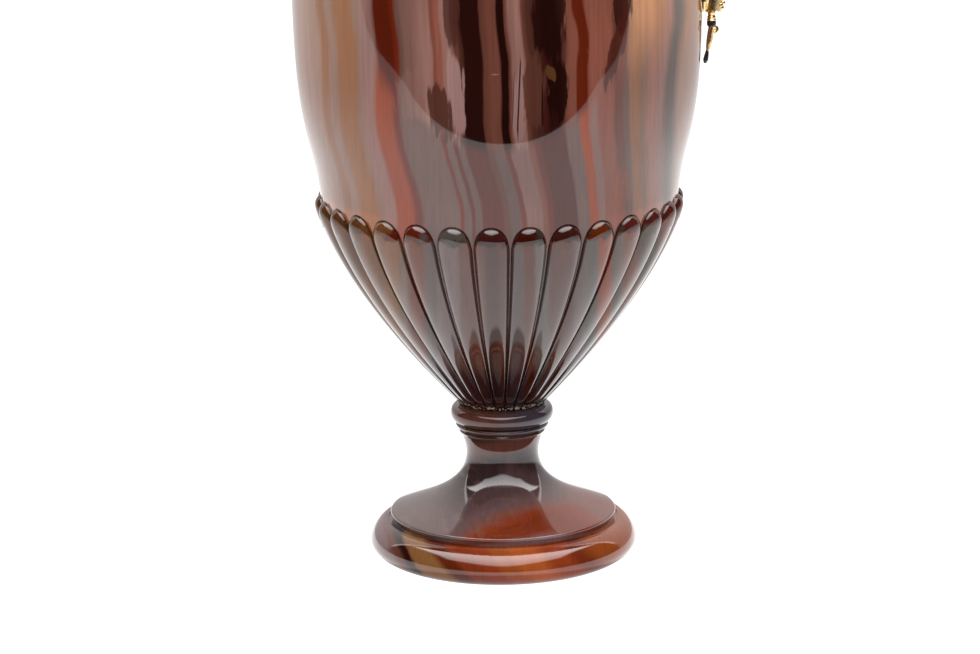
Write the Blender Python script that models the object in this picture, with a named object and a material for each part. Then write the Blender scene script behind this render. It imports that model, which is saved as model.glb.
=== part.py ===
"""A mounted agate ewer: an ovoid body of banded agate with carved gadroons, on a turned agate foot,
with an agate neck, and a collar, a spouted lip and a scroll handle in gilt metal.

Metres, +Z up. The origin is the centre of the foot's underside. The spout points along -X and the
handle stands at +X. Radii and heights of turned pieces are written as (radius, height) pairs."""

import math

import bmesh
import bpy
import numpy as np

MM = 0.001
GAP = 0.3 * MM

# Foot, stem and collar rings, turned from one piece of agate
FOOT_RADIUS = 37.7 * MM
FOOT_WIDEST_HEIGHT = 5.0 * MM
FOOT_REST_RADIUS = 29.3 * MM
FOOT_RIM_TOP = 11.0 * MM
GROOVE_WIDTH = 0.7 * MM
DOME_RADIUS = 31.9 * MM
DOME_EDGE_HEIGHT = 12.5 * MM
STEM_RADIUS = 10.25 * MM
STEM_WAIST_HEIGHT = 29.9 * MM
BEAD_RADIUS = 13.1 * MM
BEAD_HALF_HEIGHT = 1.45 * MM
BEAD_CENTRE_HEIGHT = 37.6 * MM
RING_RADIUS = 14.5 * MM
RING_HALF_HEIGHT = 2.4 * MM
RING_CENTRE_HEIGHT = 41.5 * MM
FOOT_HEIGHT = 44.4 * MM

# Body, a hollow ovoid of agate; its heights are counted from its own base
BODY_BASE_RADIUS = 11.6 * MM
BODY_SLOPE_RUN = 35.6 * MM
BODY_SLOPE_RISE = 38.5 * MM
BODY_BEND_RADIUS = 49.8 * MM
BODY_RADIUS = 56.4 * MM
BODY_WIDEST_HEIGHT = 121.5 * MM
BODY_HEIGHT = 180.0 * MM
BODY_TOP_RADIUS = 19.6 * MM
BODY_MOUTH_RADIUS = 13.4 * MM
BODY_WALL = 5.0 * MM
CAVITY_FLOOR_HEIGHT = 17.0 * MM

# Gadroons, the raised lobes round the lower body
GADROONS = 30
GADROON_TOP_HEIGHT = 60.6 * MM
GADROON_ARCH_LENGTH = 7.5 * MM
GADROON_SHARE = 0.85
GADROON_RELIEF = 2.5 * MM
GADROON_TURN = math.radians(-92.9)
PITCH = 2 * math.pi / GADROONS
LOBE_SECTION = (-1.0, -0.62, 0.0, 0.62, 1.0)

# Collar round the joint of body and neck, gilt metal
COLLAR_HEIGHT = 7.5 * MM
COLLAR_WALL = 2.0 * MM
COLLAR_MOULDING = 1.6 * MM

# Neck, a hollow piece of agate
NECK_HEIGHT = 39.0 * MM
NECK_BASE_RADIUS = 16.2 * MM
NECK_WAIST_RADIUS = 13.6 * MM
NECK_TOP_RADIUS = 17.6 * MM
NECK_BORE_RADIUS = 10.0 * MM
NECK_MOUTH_RADIUS = 14.2 * MM
NECK_SEAT_HEIGHT = 7.0 * MM

# Lip, a gilt metal shell with a pouring spout and a skirt round the neck's top
LIP_HEIGHT = 9.0 * MM
LIP_RADIUS = 22.5 * MM
LIP_WALL = 1.6 * MM
SKIRT_HEIGHT = 6.4 * MM
SPOUT_REACH = 18.5 * MM
SPOUT_RISE = 9.0 * MM
SPOUT_WIDTH = math.radians(34)

# Handle, cast in gilt metal
HANDLE_RADIUS = 3.6 * MM
HANDLE_END_RADIUS = 2.6 * MM
HANDLE_REACH = 92.0 * MM
HANDLE_RISE = 24.0 * MM
PLATE_HEIGHT = 24.0 * MM
PLATE_WIDTH = 15.0 * MM
PLATE_THICKNESS = 2.4 * MM
DROP_LENGTH = 14.2 * MM
DROP_RADIUS = 1.2 * MM
SCROLL_RADIUS = 8.5 * MM

# Where the pieces stand on each other
BODY_BASE = FOOT_HEIGHT + GAP
BODY_TOP = BODY_BASE + BODY_HEIGHT
NECK_BASE = BODY_TOP + GAP
NECK_TOP = NECK_BASE + NECK_HEIGHT
LIP_BASE = NECK_TOP + GAP
SKIRT_RADIUS = NECK_TOP_RADIUS + GAP + LIP_WALL
BODY_WIDEST = BODY_BASE + BODY_WIDEST_HEIGHT
PLATE_CENTRE_HEIGHT = BODY_WIDEST

AGATE = ("agate", (0.20, 0.09, 0.07), 0.12, 0.0)
GILT = ("gilt_metal", (0.83, 0.58, 0.24), 0.25, 1.0)


def clear_scene():
    for obj in list(bpy.data.objects):
        bpy.data.objects.remove(obj)


def material(finish):
    """A Principled material made once for each finish: (name, colour, roughness, metallic)."""
    name, colour, roughness, metallic = finish
    made = bpy.data.materials.get(name)
    if made:
        return made
    made = bpy.data.materials.new(name)
    made.use_nodes = True
    shader = made.node_tree.nodes["Principled BSDF"]
    shader.inputs["Base Color"].default_value = (*colour, 1)
    shader.inputs["Roughness"].default_value = roughness
    shader.inputs["Metallic"].default_value = metallic
    made.diffuse_color = (*colour, 1)
    return made


def solid(name, points, faces, finish):
    """One closed mesh object whose faces point out, shaded smooth with its sharp edges kept."""
    mesh = bpy.data.meshes.new(name)
    mesh.from_pydata([tuple(map(float, p)) for p in points], [], faces)
    shape = bmesh.new()
    shape.from_mesh(mesh)
    bmesh.ops.remove_doubles(shape, verts=shape.verts, dist=1e-6)
    bmesh.ops.recalc_face_normals(shape, faces=shape.faces)
    shape.to_mesh(mesh)
    shape.free()
    mesh.shade_smooth()
    mesh.set_sharp_from_angle(angle=math.radians(40))
    obj = bpy.data.objects.new(name, mesh)
    obj.data.materials.append(material(finish))
    bpy.context.scene.collection.objects.link(obj)
    return obj


def bezier(start, leave, arrive, end, steps):
    """Points of a cubic Bezier curve, the start left out."""
    t = np.linspace(0, 1, steps + 1)[1:, None]
    corners = [np.array(p, float) for p in (start, leave, arrive, end)]
    weights = ((1 - t) ** 3, 3 * t * (1 - t) ** 2, 3 * t**2 * (1 - t), t**3)
    return sum(w * c for w, c in zip(weights, corners))


def half_round(low, high, bulge, steps):
    """A half-ellipse moulding from height low to height high at radius bulge[0], standing out to bulge[1]."""
    turn = np.linspace(-math.pi / 2, math.pi / 2, steps + 1)
    height = (low + high) / 2 + (high - low) / 2 * np.sin(turn)
    return np.column_stack([bulge[0] + (bulge[1] - bulge[0]) * np.cos(turn), height])


def circle_points(radius, height, columns, turn=0.0):
    angle = turn + np.arange(columns) * 2 * math.pi / columns
    return np.column_stack(
        [radius * np.cos(angle), radius * np.sin(angle), np.full(columns, height)]
    )


def band(first, second, columns):
    """Quads between two rings of equal count that start at these point numbers."""
    return [
        (first + c, first + (c + 1) % columns, second + (c + 1) % columns, second + c)
        for c in range(columns)
    ]


def turned(name, outline, columns, finish):
    """A solid of revolution. An outline that starts and ends on the axis is capped there with fans; any
    other outline is closed into a ring."""
    outline = np.array(outline, float)
    on_axis = outline[0][0] < 1e-9
    rings = outline[1:-1] if on_axis else outline
    points = [p for r, z in rings for p in circle_points(r, z, columns)]
    faces = []
    last = len(rings) - 1
    for row in range(len(rings) if not on_axis else last):
        faces += band(row * columns, (row + 1) % len(rings) * columns, columns)
    if on_axis:
        low, high = len(points), len(points) + 1
        points += [(0, 0, outline[0][1]), (0, 0, outline[-1][1])]
        faces += [(low, (c + 1) % columns, c) for c in range(columns)]
        top = last * columns
        faces += [(high, top + c, top + (c + 1) % columns) for c in range(columns)]
    return solid(name, points, faces, finish)


def foot_outline():
    """From the middle of the flat underside, round the rim, over the dome and up the stem to the seat."""
    lower = [
        (
            FOOT_REST_RADIUS + (FOOT_RADIUS - FOOT_REST_RADIUS) * math.sin(t),
            FOOT_WIDEST_HEIGHT * (1 - math.cos(t)),
        )
        for t in np.linspace(0, math.pi / 2, 5)
    ]
    rim_inner = (DOME_RADIUS + GROOVE_WIDTH, FOOT_RIM_TOP)
    upper = bezier(
        lower[-1],
        (FOOT_RADIUS, FOOT_WIDEST_HEIGHT + 2.5 * MM),
        (rim_inner[0] + 1.5 * MM, FOOT_RIM_TOP - 1.7 * MM),
        rim_inner,
        4,
    )
    dome_top = (DOME_RADIUS - 0.6 * MM, DOME_EDGE_HEIGHT + 0.9 * MM)
    dome = bezier(
        dome_top,
        (dome_top[0] - 10.0 * MM, dome_top[1] + 4.0 * MM),
        (STEM_RADIUS, STEM_WAIST_HEIGHT - 8.8 * MM),
        (STEM_RADIUS, STEM_WAIST_HEIGHT),
        7,
    )
    bead_base = BEAD_CENTRE_HEIGHT - BEAD_HALF_HEIGHT
    under_bead = (BEAD_RADIUS - 1.1 * MM, bead_base)
    flare = bezier(
        (STEM_RADIUS, STEM_WAIST_HEIGHT),
        (STEM_RADIUS, STEM_WAIST_HEIGHT + 0.5 * MM),
        (under_bead[0] - 1.8 * MM, bead_base - 3.4 * MM),
        under_bead,
        3,
    )
    bead_top = BEAD_CENTRE_HEIGHT + BEAD_HALF_HEIGHT
    bead = half_round(bead_base, bead_top, (under_bead[0], BEAD_RADIUS), 4)
    ring = half_round(
        RING_CENTRE_HEIGHT - RING_HALF_HEIGHT,
        RING_CENTRE_HEIGHT + RING_HALF_HEIGHT,
        (RING_RADIUS - 1.9 * MM, RING_RADIUS),
        5,
    )
    return [
        (0, 0),
        *lower,
        *upper,
        (DOME_RADIUS, FOOT_RIM_TOP),
        (DOME_RADIUS, DOME_EDGE_HEIGHT),
        dome_top,
        *dome,
        *flare,
        *bead[1:],
        *ring[1:],
        (BODY_BASE_RADIUS + 0.3 * MM, FOOT_HEIGHT),
        (0, FOOT_HEIGHT),
    ]


def body_curve(steps_low, steps_high, steps_shoulder):
    """The body's outer line without its gadroons: up the gadrooned part, on to the widest point, and
    over the shoulder to the mouth."""
    base = (BODY_BASE_RADIUS, BODY_BASE)
    bend = (BODY_BEND_RADIUS, BODY_BASE + GADROON_TOP_HEIGHT)
    widest = (BODY_RADIUS, BODY_WIDEST)
    upper_rise = widest[1] - bend[1]
    shoulder_rise = BODY_TOP - widest[1]
    lower = bezier(base, (base[0] + BODY_SLOPE_RUN, base[1] + BODY_SLOPE_RISE), bend, bend, steps_low)
    upper = bezier(
        bend,
        (bend[0] + 0.03 * upper_rise, bend[1] + 0.29 * upper_rise),
        (widest[0], widest[1] - 0.75 * upper_rise),
        widest,
        steps_high,
    )
    shoulder = bezier(
        widest,
        (widest[0], widest[1] + 0.5 * shoulder_rise),
        (BODY_TOP_RADIUS + 0.66 * (BODY_RADIUS - BODY_TOP_RADIUS), BODY_TOP - 0.1 * shoulder_rise),
        (BODY_TOP_RADIUS, BODY_TOP),
        steps_shoulder,
    )
    return np.vstack([[base], lower, upper, shoulder])


def body_radius(height):
    """Radius of the body's plain surface at a height."""
    curve = body_curve(60, 60, 60)
    return float(np.interp(height, curve[:, 1], curve[:, 0]))


def gadroon_section(height):
    """(share of the pitch that is lobe, relief) of a gadroon at a height. The lobes end in round
    arches, and their relief grows with the body's girth."""
    top = BODY_BASE + GADROON_TOP_HEIGHT
    into_arch = max(0.0, (height - top + GADROON_ARCH_LENGTH) / GADROON_ARCH_LENGTH)
    arch = math.sqrt(max(0.0, 1 - into_arch**2))
    girth = body_radius(height) / body_radius(top)
    return GADROON_SHARE * arch, GADROON_RELIEF * girth * arch


def lobed_ring(height):
    """One ring of the gadrooned part: the points of LOBE_SECTION over each lobe, then one midway to the
    next lobe."""
    share, relief = gadroon_section(height)
    plain = body_radius(height)
    across = np.array(LOBE_SECTION)
    radius = np.append(plain + relief * np.sqrt(1 - across**2), plain)
    offset = np.append(across * share / 2, 0.5) * PITCH
    angle = (GADROON_TURN + np.arange(GADROONS)[:, None] * PITCH + offset).ravel()
    radius = np.tile(radius, GADROONS)
    return np.column_stack(
        [radius * np.cos(angle), radius * np.sin(angle), np.full(len(angle), height)]
    )


def tip_faces(lobed, plain):
    """Faces between the last lobed ring and the plain ring above it, which start at these point numbers:
    each lobe closes in a fan at its tip."""
    faces = []
    per_lobe = len(LOBE_SECTION) + 1
    for i in range(GADROONS):
        start = lobed + per_lobe * i
        last = start + per_lobe - 1
        after = lobed + per_lobe * ((i + 1) % GADROONS)
        tip = plain + 2 * i
        next_tip = plain + 2 * ((i + 1) % GADROONS)
        faces += [(start + k, start + k + 1, tip) for k in range(per_lobe - 2)]
        faces += [(last - 1, last, tip + 1, tip), (last, after, next_tip, tip + 1)]
    return faces


def body():
    """The hollow body: lobed rings up to the gadroons' tips, then plain rings over the shoulder, into the
    mouth and down the cavity to its floor."""
    top = BODY_BASE + GADROON_TOP_HEIGHT
    arch_start = top - GADROON_ARCH_LENGTH
    arch_steps = np.array([0.45, 0.75, 0.93])
    heights = [*np.linspace(BODY_BASE, arch_start, 6), *(arch_start + GADROON_ARCH_LENGTH * arch_steps)]
    columns = (len(LOBE_SECTION) + 1) * GADROONS
    points = [p for height in heights for p in lobed_ring(height)]
    faces = [tuple(reversed(range(columns)))]
    for row in range(len(heights) - 1):
        faces += band(row * columns, (row + 1) * columns, columns)

    outside = body_curve(1, 4, 6)
    outline = [
        (body_radius(top), top),
        *outside[outside[:, 1] > top + 1e-6],
        (BODY_MOUTH_RADIUS, BODY_TOP),
        *cavity_outline(),
    ]
    first = len(points)
    faces += tip_faces(first - columns, first)
    plain_columns = 2 * GADROONS
    points += [p for r, z in outline for p in circle_points(r, z, plain_columns, GADROON_TURN)]
    for row in range(len(outline) - 1):
        start = first + row * plain_columns
        faces += band(start, start + plain_columns, plain_columns)

    floor = len(points)
    points.append((0, 0, BODY_BASE + CAVITY_FLOOR_HEIGHT))
    end = floor - plain_columns
    faces += [(end + c, end + (c + 1) % plain_columns, floor) for c in range(plain_columns)]
    return solid("agate_body", points, faces, AGATE)


def cavity_outline():
    """The cavity's wall from under the mouth down to its rounded floor, one wall inside the plain
    surface."""
    floor = BODY_BASE + CAVITY_FLOOR_HEIGHT
    curve = body_curve(12, 8, 10)
    slope = np.gradient(curve, axis=0)
    normal = np.column_stack([slope[:, 1], -slope[:, 0]])
    normal /= np.linalg.norm(normal, axis=1)[:, None]
    inside = curve - BODY_WALL * normal
    heights = np.linspace(BODY_TOP - BODY_WALL - 0.5 * MM, floor + 1.5 * MM, 8)
    hollow_end = 14.0 * MM
    order = np.argsort(inside[:, 1])
    radii = np.interp(heights, inside[order, 1], inside[order, 0])
    bowl = np.clip((heights - floor) / hollow_end, 0, 1)
    radii = np.maximum(radii, BODY_MOUTH_RADIUS * (heights > BODY_WIDEST))
    radii = radii * np.sqrt(1 - (1 - bowl) ** 2)
    return list(zip(radii, heights))


def collar_outline():
    """A gilt ring round the neck's base, with a half-round moulding between two fillets."""
    bore = NECK_BASE_RADIUS + GAP
    outside = bore + COLLAR_WALL
    low, high = BODY_TOP + GAP, BODY_TOP + GAP + COLLAR_HEIGHT
    return [
        (bore, low),
        (outside + 0.5 * MM, low),
        (outside + 0.5 * MM, low + 1.0 * MM),
        *half_round(low + 1.0 * MM, high - 1.6 * MM, (outside, outside + COLLAR_MOULDING), 5),
        (outside - 0.7 * MM, high - 1.3 * MM),
        (outside - 0.7 * MM, high),
        (bore, high),
    ]


def neck_outline():
    """A waisted tube of agate with a straight part above for the lip's skirt: its outside from base to
    top, then its bore from top to base."""
    seat = NECK_TOP - NECK_SEAT_HEIGHT
    straight = NECK_BASE + COLLAR_HEIGHT
    waist = NECK_BASE + 0.48 * NECK_HEIGHT
    outside_low = bezier(
        (NECK_BASE_RADIUS, straight),
        (NECK_BASE_RADIUS - 1.0 * MM, straight + 3.0 * MM),
        (NECK_WAIST_RADIUS, waist - 5.0 * MM),
        (NECK_WAIST_RADIUS, waist),
        3,
    )
    outside_high = bezier(
        (NECK_WAIST_RADIUS, waist),
        (NECK_WAIST_RADIUS, waist + 6.0 * MM),
        (NECK_TOP_RADIUS - 0.6 * MM, seat - 3.0 * MM),
        (NECK_TOP_RADIUS, seat),
        4,
    )
    bore = bezier(
        (NECK_MOUTH_RADIUS, NECK_TOP),
        (NECK_MOUTH_RADIUS, NECK_TOP - 7.0 * MM),
        (NECK_BORE_RADIUS, waist + 8.0 * MM),
        (NECK_BORE_RADIUS, waist),
        4,
    )
    return [
        (NECK_BASE_RADIUS, NECK_BASE),
        (NECK_BASE_RADIUS, straight),
        *outside_low,
        *outside_high,
        (NECK_TOP_RADIUS, NECK_TOP),
        (NECK_MOUTH_RADIUS, NECK_TOP),
        *bore,
        (NECK_BORE_RADIUS, NECK_BASE),
    ]


def spout_share(angle):
    """1 at the spout, which points along -X, falling smoothly to 0 at the sides."""
    away = np.abs((angle - math.pi + math.pi) % (2 * math.pi) - math.pi)
    return np.exp(-((away / SPOUT_WIDTH) ** 2))


def lip():
    """The gilt shell: a skirt round the neck's top that flares to a rim, drawn out and up into a spout.
    Each section is a closed loop, up the outside and down the inside."""
    columns = 40
    angles = np.arange(columns) * 2 * math.pi / columns
    reach = SPOUT_REACH * spout_share(angles)
    rise = SPOUT_RISE * spout_share(angles)
    level = np.zeros(columns)
    up = np.array([0.0, 0.34, 0.68, 1.0])
    rim = LIP_RADIUS - SKIRT_RADIUS
    outside = [(SKIRT_RADIUS + level, level - SKIRT_HEIGHT)]
    outside += [
        (SKIRT_RADIUS + rim * u**1.5 + reach * u**1.35, LIP_HEIGHT * u + rise * u**1.2) for u in up
    ]
    throat = NECK_MOUTH_RADIUS
    opening = LIP_RADIUS - LIP_WALL - throat
    inside = [
        (throat + opening * u + reach * u**1.35, LIP_HEIGHT * u + rise * u**1.2) for u in up[::-1]
    ]
    inside += [
        (SKIRT_RADIUS - LIP_WALL + level, level),
        (SKIRT_RADIUS - LIP_WALL + level, level - SKIRT_HEIGHT),
    ]
    points = []
    for radius, height in outside + inside:
        across, away = radius * np.cos(angles), radius * np.sin(angles)
        points += list(np.column_stack([across, away, LIP_BASE + height]))
    rows = len(outside) + len(inside)
    faces = []
    for row in range(rows):
        faces += band(row * columns, (row + 1) % rows * columns, columns)
    return solid("spouted_lip", points, faces, GILT)


def tube(name, path, radii, sides, finish, flatten=1.0):
    """A round bar along a path that stays in the plane Y = 0, with a radius at each point of it."""
    path = np.array(path, float)
    along = np.gradient(path, axis=0)
    along /= np.linalg.norm(along, axis=1)[:, None]
    along[0] = (1, 0) if abs(along[0][0]) > abs(along[0][1]) else along[0]
    out = np.column_stack([along[:, 1], -along[:, 0]])
    turn = np.arange(sides) * 2 * math.pi / sides
    points = []
    for (x, z), (ox, oz), radius in zip(path, out, radii):
        for a in turn:
            away = radius * math.cos(a)
            points.append((x + ox * away, radius * flatten * math.sin(a), z + oz * away))
    faces = []
    for row in range(len(path) - 1):
        faces += band(row * sides, (row + 1) * sides, sides)
    faces.append(tuple(reversed(range(sides))))
    end = (len(path) - 1) * sides
    faces.append(tuple(range(end, end + sides)))
    return solid(name, points, faces, finish)


def drop_path():
    """(x, z) points of the drop that hangs from the plate down the body's side."""
    height = PLATE_CENTRE_HEIGHT - 0.5 * PLATE_HEIGHT + 0.8 * MM
    x = body_radius(height) + 2.5 * MM
    return bezier(
        (x, height),
        (x + 0.1 * MM, height - 0.4 * DROP_LENGTH),
        (x - 1.2 * MM, height - 0.5 * DROP_LENGTH),
        (x - 1.3 * MM, height - DROP_LENGTH),
        14,
    )


def handle_path():
    """(x, z) points of the handle's middle line, from the skirt's back over to the plate's foot."""
    pad = (SKIRT_RADIUS + GAP, LIP_BASE - 0.5 * SKIRT_HEIGHT)
    start = (pad[0] + 2 * MM, pad[1])
    crown = (0.5 * HANDLE_REACH + 8.0 * MM, LIP_BASE + HANDLE_RISE)
    side = (HANDLE_REACH, LIP_BASE - 32.0 * MM)
    landing = (BODY_RADIUS + 4.4 * MM, PLATE_CENTRE_HEIGHT + 0.16 * PLATE_HEIGHT)
    first = bezier(start, (start[0] + 16 * MM, start[1]), (crown[0] - 18 * MM, crown[1]), crown, 7)
    second = bezier(
        crown, (crown[0] + 19 * MM, crown[1]), (side[0], side[1] + 26 * MM), side, 7
    )
    third = bezier(
        side, (side[0], side[1] - 24 * MM), (landing[0] + 3 * MM, landing[1] + 18 * MM), landing, 7
    )
    return np.vstack([[pad], [start], first, second, third, [drop_path()[0]]])


def bar_radii(count):
    """The bar swells towards its middle and narrows at both ends."""
    u = np.linspace(0, 1, count)
    swell = np.sin(math.pi * u**0.8) ** 1.2
    return HANDLE_END_RADIUS + (HANDLE_RADIUS - HANDLE_END_RADIUS) * swell


def drop_radii(count):
    """The turned drop: a block, a band, a curled collar, a slender pear, a thin neck and a bulb."""
    down = np.linspace(0, 1, count)
    at = (0.0, 0.16, 0.30, 0.34, 0.42, 0.50, 0.64, 0.78, 0.84, 0.93, 1.0)
    size = (1.0, 0.95, 1.0, 0.6, 0.72, 0.5, 0.66, 0.55, 0.32, 0.62, 0.2)
    return DROP_RADIUS * np.interp(down, at, size)


def plate():
    """The cast plate between handle and body, a shield that follows the body's curve one gap away."""
    rows, columns = 9, 7
    points = []
    for inner in (True, False):
        for v in np.linspace(-1, 1, rows):
            height = PLATE_CENTRE_HEIGHT + v * PLATE_HEIGHT / 2
            half = PLATE_WIDTH / 2 * math.sqrt(max(0.05, 1 - abs(v) ** 2.2))
            for t in np.linspace(-1, 1, columns):
                swell = math.sqrt(max(0.0, 1 - 0.8 * t * t)) * math.sqrt(1 - 0.8 * v * v)
                depth = GAP if inner else GAP + PLATE_THICKNESS * swell
                radius = body_radius(height) + depth
                angle = t * half / BODY_RADIUS
                points.append((radius * math.cos(angle), radius * math.sin(angle), height))
    faces = []
    layer = rows * columns

    def at(r, c, outer):
        return outer * layer + r * columns + c

    for outer in (0, 1):
        for r in range(rows - 1):
            for c in range(columns - 1):
                quad = [(r, c), (r, c + 1), (r + 1, c + 1), (r + 1, c)]
                faces.append(tuple(at(a, b, outer) for a, b in quad))
    edge = [(0, c) for c in range(columns)] + [(r, columns - 1) for r in range(1, rows)]
    edge += [(rows - 1, c) for c in range(columns - 2, -1, -1)]
    edge += [(r, 0) for r in range(rows - 2, 0, -1)]
    for (a, b), (c, d) in zip(edge, edge[1:] + edge[:1]):
        faces.append((at(a, b, 0), at(c, d, 0), at(c, d, 1), at(a, b, 1)))
    return solid("handle_plate_shape", points, faces, GILT)


def scroll(name, centre, start_angle, turns, radius, thickness):
    """A volute: a bar that winds inwards from a radius about a centre in the plane Y = 0."""
    steps = 12
    u = np.linspace(0, 1, steps + 1)
    angle = start_angle + turns * 2 * math.pi * u
    away = radius * (1 - 0.72 * u)
    path = np.column_stack([centre[0] + away * np.cos(angle), centre[1] + away * np.sin(angle)])
    return tube(name, path, thickness * (1 - 0.35 * u), 6, GILT)


def fuse(main, *others):
    """Joins other shapes into the main one with Boolean unions and hides them."""
    for other in others:
        other.hide_render = True
        other.display_type = "WIRE"
        join = main.modifiers.new("join_" + other.name, "BOOLEAN")
        join.operation = "UNION"
        join.object = other


def handle():
    path = handle_path()
    bar = tube("scroll_handle", path, bar_radii(len(path)), 8, GILT)
    hanging = drop_path()
    hanging = np.vstack([[hanging[0][0], hanging[0][1] + 3 * MM], hanging])
    drop = tube("drop_shape", hanging, drop_radii(len(hanging)), 8, GILT)
    crown_x, crown_z = path[8]
    thumb = scroll(
        "thumb_scroll_shape",
        (crown_x - 0.4 * SCROLL_RADIUS, crown_z + 0.62 * SCROLL_RADIUS),
        math.radians(-62),
        -1.1,
        0.8 * SCROLL_RADIUS,
        0.42 * HANDLE_RADIUS,
    )
    low_x, low_z = path[19]
    curl = scroll(
        "lower_scroll_shape",
        (low_x + 1.05 * SCROLL_RADIUS, low_z - 0.1 * SCROLL_RADIUS),
        math.radians(165),
        1.1,
        0.95 * SCROLL_RADIUS,
        0.5 * HANDLE_RADIUS,
    )
    fuse(bar, plate(), drop, thumb, curl)
    return bar


def main():
    clear_scene()
    turned("agate_foot", foot_outline(), 36, AGATE)
    body()
    turned("neck_collar", collar_outline(), 30, GILT)
    turned("agate_neck", neck_outline(), 30, AGATE)
    lip()
    handle()


main()
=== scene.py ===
"""Looks of a mounted agate ewer: the finely carved and polished stone, the gilt mounts, the white table
it stands on and the studio light around it.

Metres, +Z up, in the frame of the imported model. The spout points along -X and the handle stands at +X.
The materials count in millimetres: x, y and z in them are a point's place in its piece times 1000."""

import math

import bmesh
import bpy
import numpy as np
from bpy.props import FloatProperty, FloatVectorProperty, IntProperty, PointerProperty
from mathutils import Matrix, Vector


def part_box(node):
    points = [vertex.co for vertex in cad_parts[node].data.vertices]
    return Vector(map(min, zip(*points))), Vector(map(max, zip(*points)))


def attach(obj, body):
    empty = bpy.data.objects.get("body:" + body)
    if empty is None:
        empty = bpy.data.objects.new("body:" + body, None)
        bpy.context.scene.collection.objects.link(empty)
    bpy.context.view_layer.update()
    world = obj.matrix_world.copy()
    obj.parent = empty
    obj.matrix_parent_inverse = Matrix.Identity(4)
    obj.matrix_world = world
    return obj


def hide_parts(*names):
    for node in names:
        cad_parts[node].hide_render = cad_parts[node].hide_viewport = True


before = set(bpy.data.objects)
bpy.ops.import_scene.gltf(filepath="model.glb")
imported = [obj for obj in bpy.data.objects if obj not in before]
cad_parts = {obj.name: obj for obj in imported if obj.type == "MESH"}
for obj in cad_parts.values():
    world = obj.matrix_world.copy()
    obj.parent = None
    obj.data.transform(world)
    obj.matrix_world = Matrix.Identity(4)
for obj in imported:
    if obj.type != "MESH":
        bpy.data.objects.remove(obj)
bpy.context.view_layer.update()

bl_info = {
    "name": "Agate ewer",
    "version": (1, 0, 0),
    "blender": (4, 5, 0),
    "location": "View3D > Sidebar > Ewer",
    "description": "Dresses a mounted agate ewer and lights it",
    "category": "Object",
}

MM = 0.001

GROOVE_WIDTH, GROOVE_DEPTH = 0.28 * MM, 0.15 * MM
FIRST_LOBE = math.radians(-92.9)
MERGE_DISTANCE = 1e-6
RAMP_LAYERS = 15

# Where the colours of the body and the foot change, in millimetres
# The body's bowl-shaped border is partly the stone's own change and partly a painted reflection of the
# white table's edge
BORDER_HEIGHT, BORDER_CURVE, BORDER_REACH = 126.8, 0.019, 37.0
LOBE_ARCHES, LOBE_TIPS, LOBE_SIDES = (107, 105.5), (99.8, 101.0), (24, 36)
# Below the first pair of heights the body is darkened: painted shade and a painted reflection of the dark
# foot
PAINTED_BASE_SHADE, CRUST_EDGE = (63, 56), (46.4, 45.4)
SHEET_MIDDLE, SHEET_HEIGHT, SHEET_CURVE = 8, 18.4, 0.0112
# The second pair of heights is where the rim's underside is lightened, a painted light from the white table
RIM_EDGE, RIM_PAINTED_LIGHT = (11.6, 10.6), (6, 2.5)

# Tints that a colour is multiplied by
LOWER_TINT, FLANK_TINT, CLOUD_TINT = (1.25, 1.06, 0.98), (1.35, 1.22, 1.05), (0.88, 0.86, 0.84)
SIDE_TINT, BASE_SHADE_TINT, RIM_LIGHT_TINT = (1.35, 1.10, 0.92), (0.30, 0.22, 0.26), (1.9, 1.5, 1.25)
THREAD_TINT = (0.42, 0.34, 0.30)

# Colours that are laid over the layers
# The first colour here is painted shade for the grooves and a painted dark reflection along the lobes'
# edges
PAINTED_EDGE_SHADE, CRUST, CLOUD = (0.012, 0.006, 0.005), (0.50, 0.44, 0.36), (0.085, 0.042, 0.043)
STREAK, WARM_PATCH, COOL_BEAD = (0.16, 0.095, 0.07), (0.115, 0.062, 0.050), (0.045, 0.036, 0.052)

# Edges of the white wall and of the soft box, as values worked out from a direction
WALL_EDGE, BOX_SIDES, BOX_BASE = (0.87, 0.93), (0.68, 0.60), (0.2, 0.4)
BOX_FRONT, BOX_BACK = (-0.90, -0.80), (-0.08, -0.16)

# How bright the camera sees the room and the table
ROOM_WHITE, TABLE_WHITE = 1.2, 1.3

_, FOOT_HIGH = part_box("agate_foot")
BODY_LOW, BODY_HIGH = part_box("agate_body")
NECK_LOW, NECK_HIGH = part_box("agate_neck")
COLLAR_LOW, COLLAR_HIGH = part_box("neck_collar")
LIP_LOW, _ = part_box("spouted_lip")
GAP = BODY_LOW[2] - FOOT_HIGH[2]


def mm(*lengths):
    """Lengths given in millimetres, in metres."""
    return tuple(length * MM for length in lengths)


def length_property(name, description, default):
    """A size in metres that a user may change."""
    return FloatProperty(name=name, description=description, default=default, unit="LENGTH")


def colour_property(name, description, default):
    """A colour that a user may change."""
    return FloatVectorProperty(name=name, description=description, default=default, subtype="COLOR")


class EwerSizes(bpy.types.PropertyGroup):
    """The sizes that shape the fine pieces"""

    foot_radius: length_property("Foot radius", "Foot at its widest", FOOT_HIGH[0])
    body_radius: length_property("Body radius", "Body at its widest", 56.4 * MM)
    widest: length_property(
        "Widest height", "Height of the body's widest point above its own base", 121.5 * MM
    )
    gadroons: IntProperty(name="Gadroons", description="Lobes round the body", default=30, min=6)
    gadroon_top: length_property(
        "Gadroon top", "Height of the lobes' tips above the body's base", 60.6 * MM
    )
    gadroon_share: FloatProperty(
        name="Gadroon share", description="Share of the pitch that is lobe", default=0.925, subtype="FACTOR"
    )
    gadroon_relief: length_property(
        "Gadroon relief", "How far a lobe stands out near its tip", 2.5 * MM
    )


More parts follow.
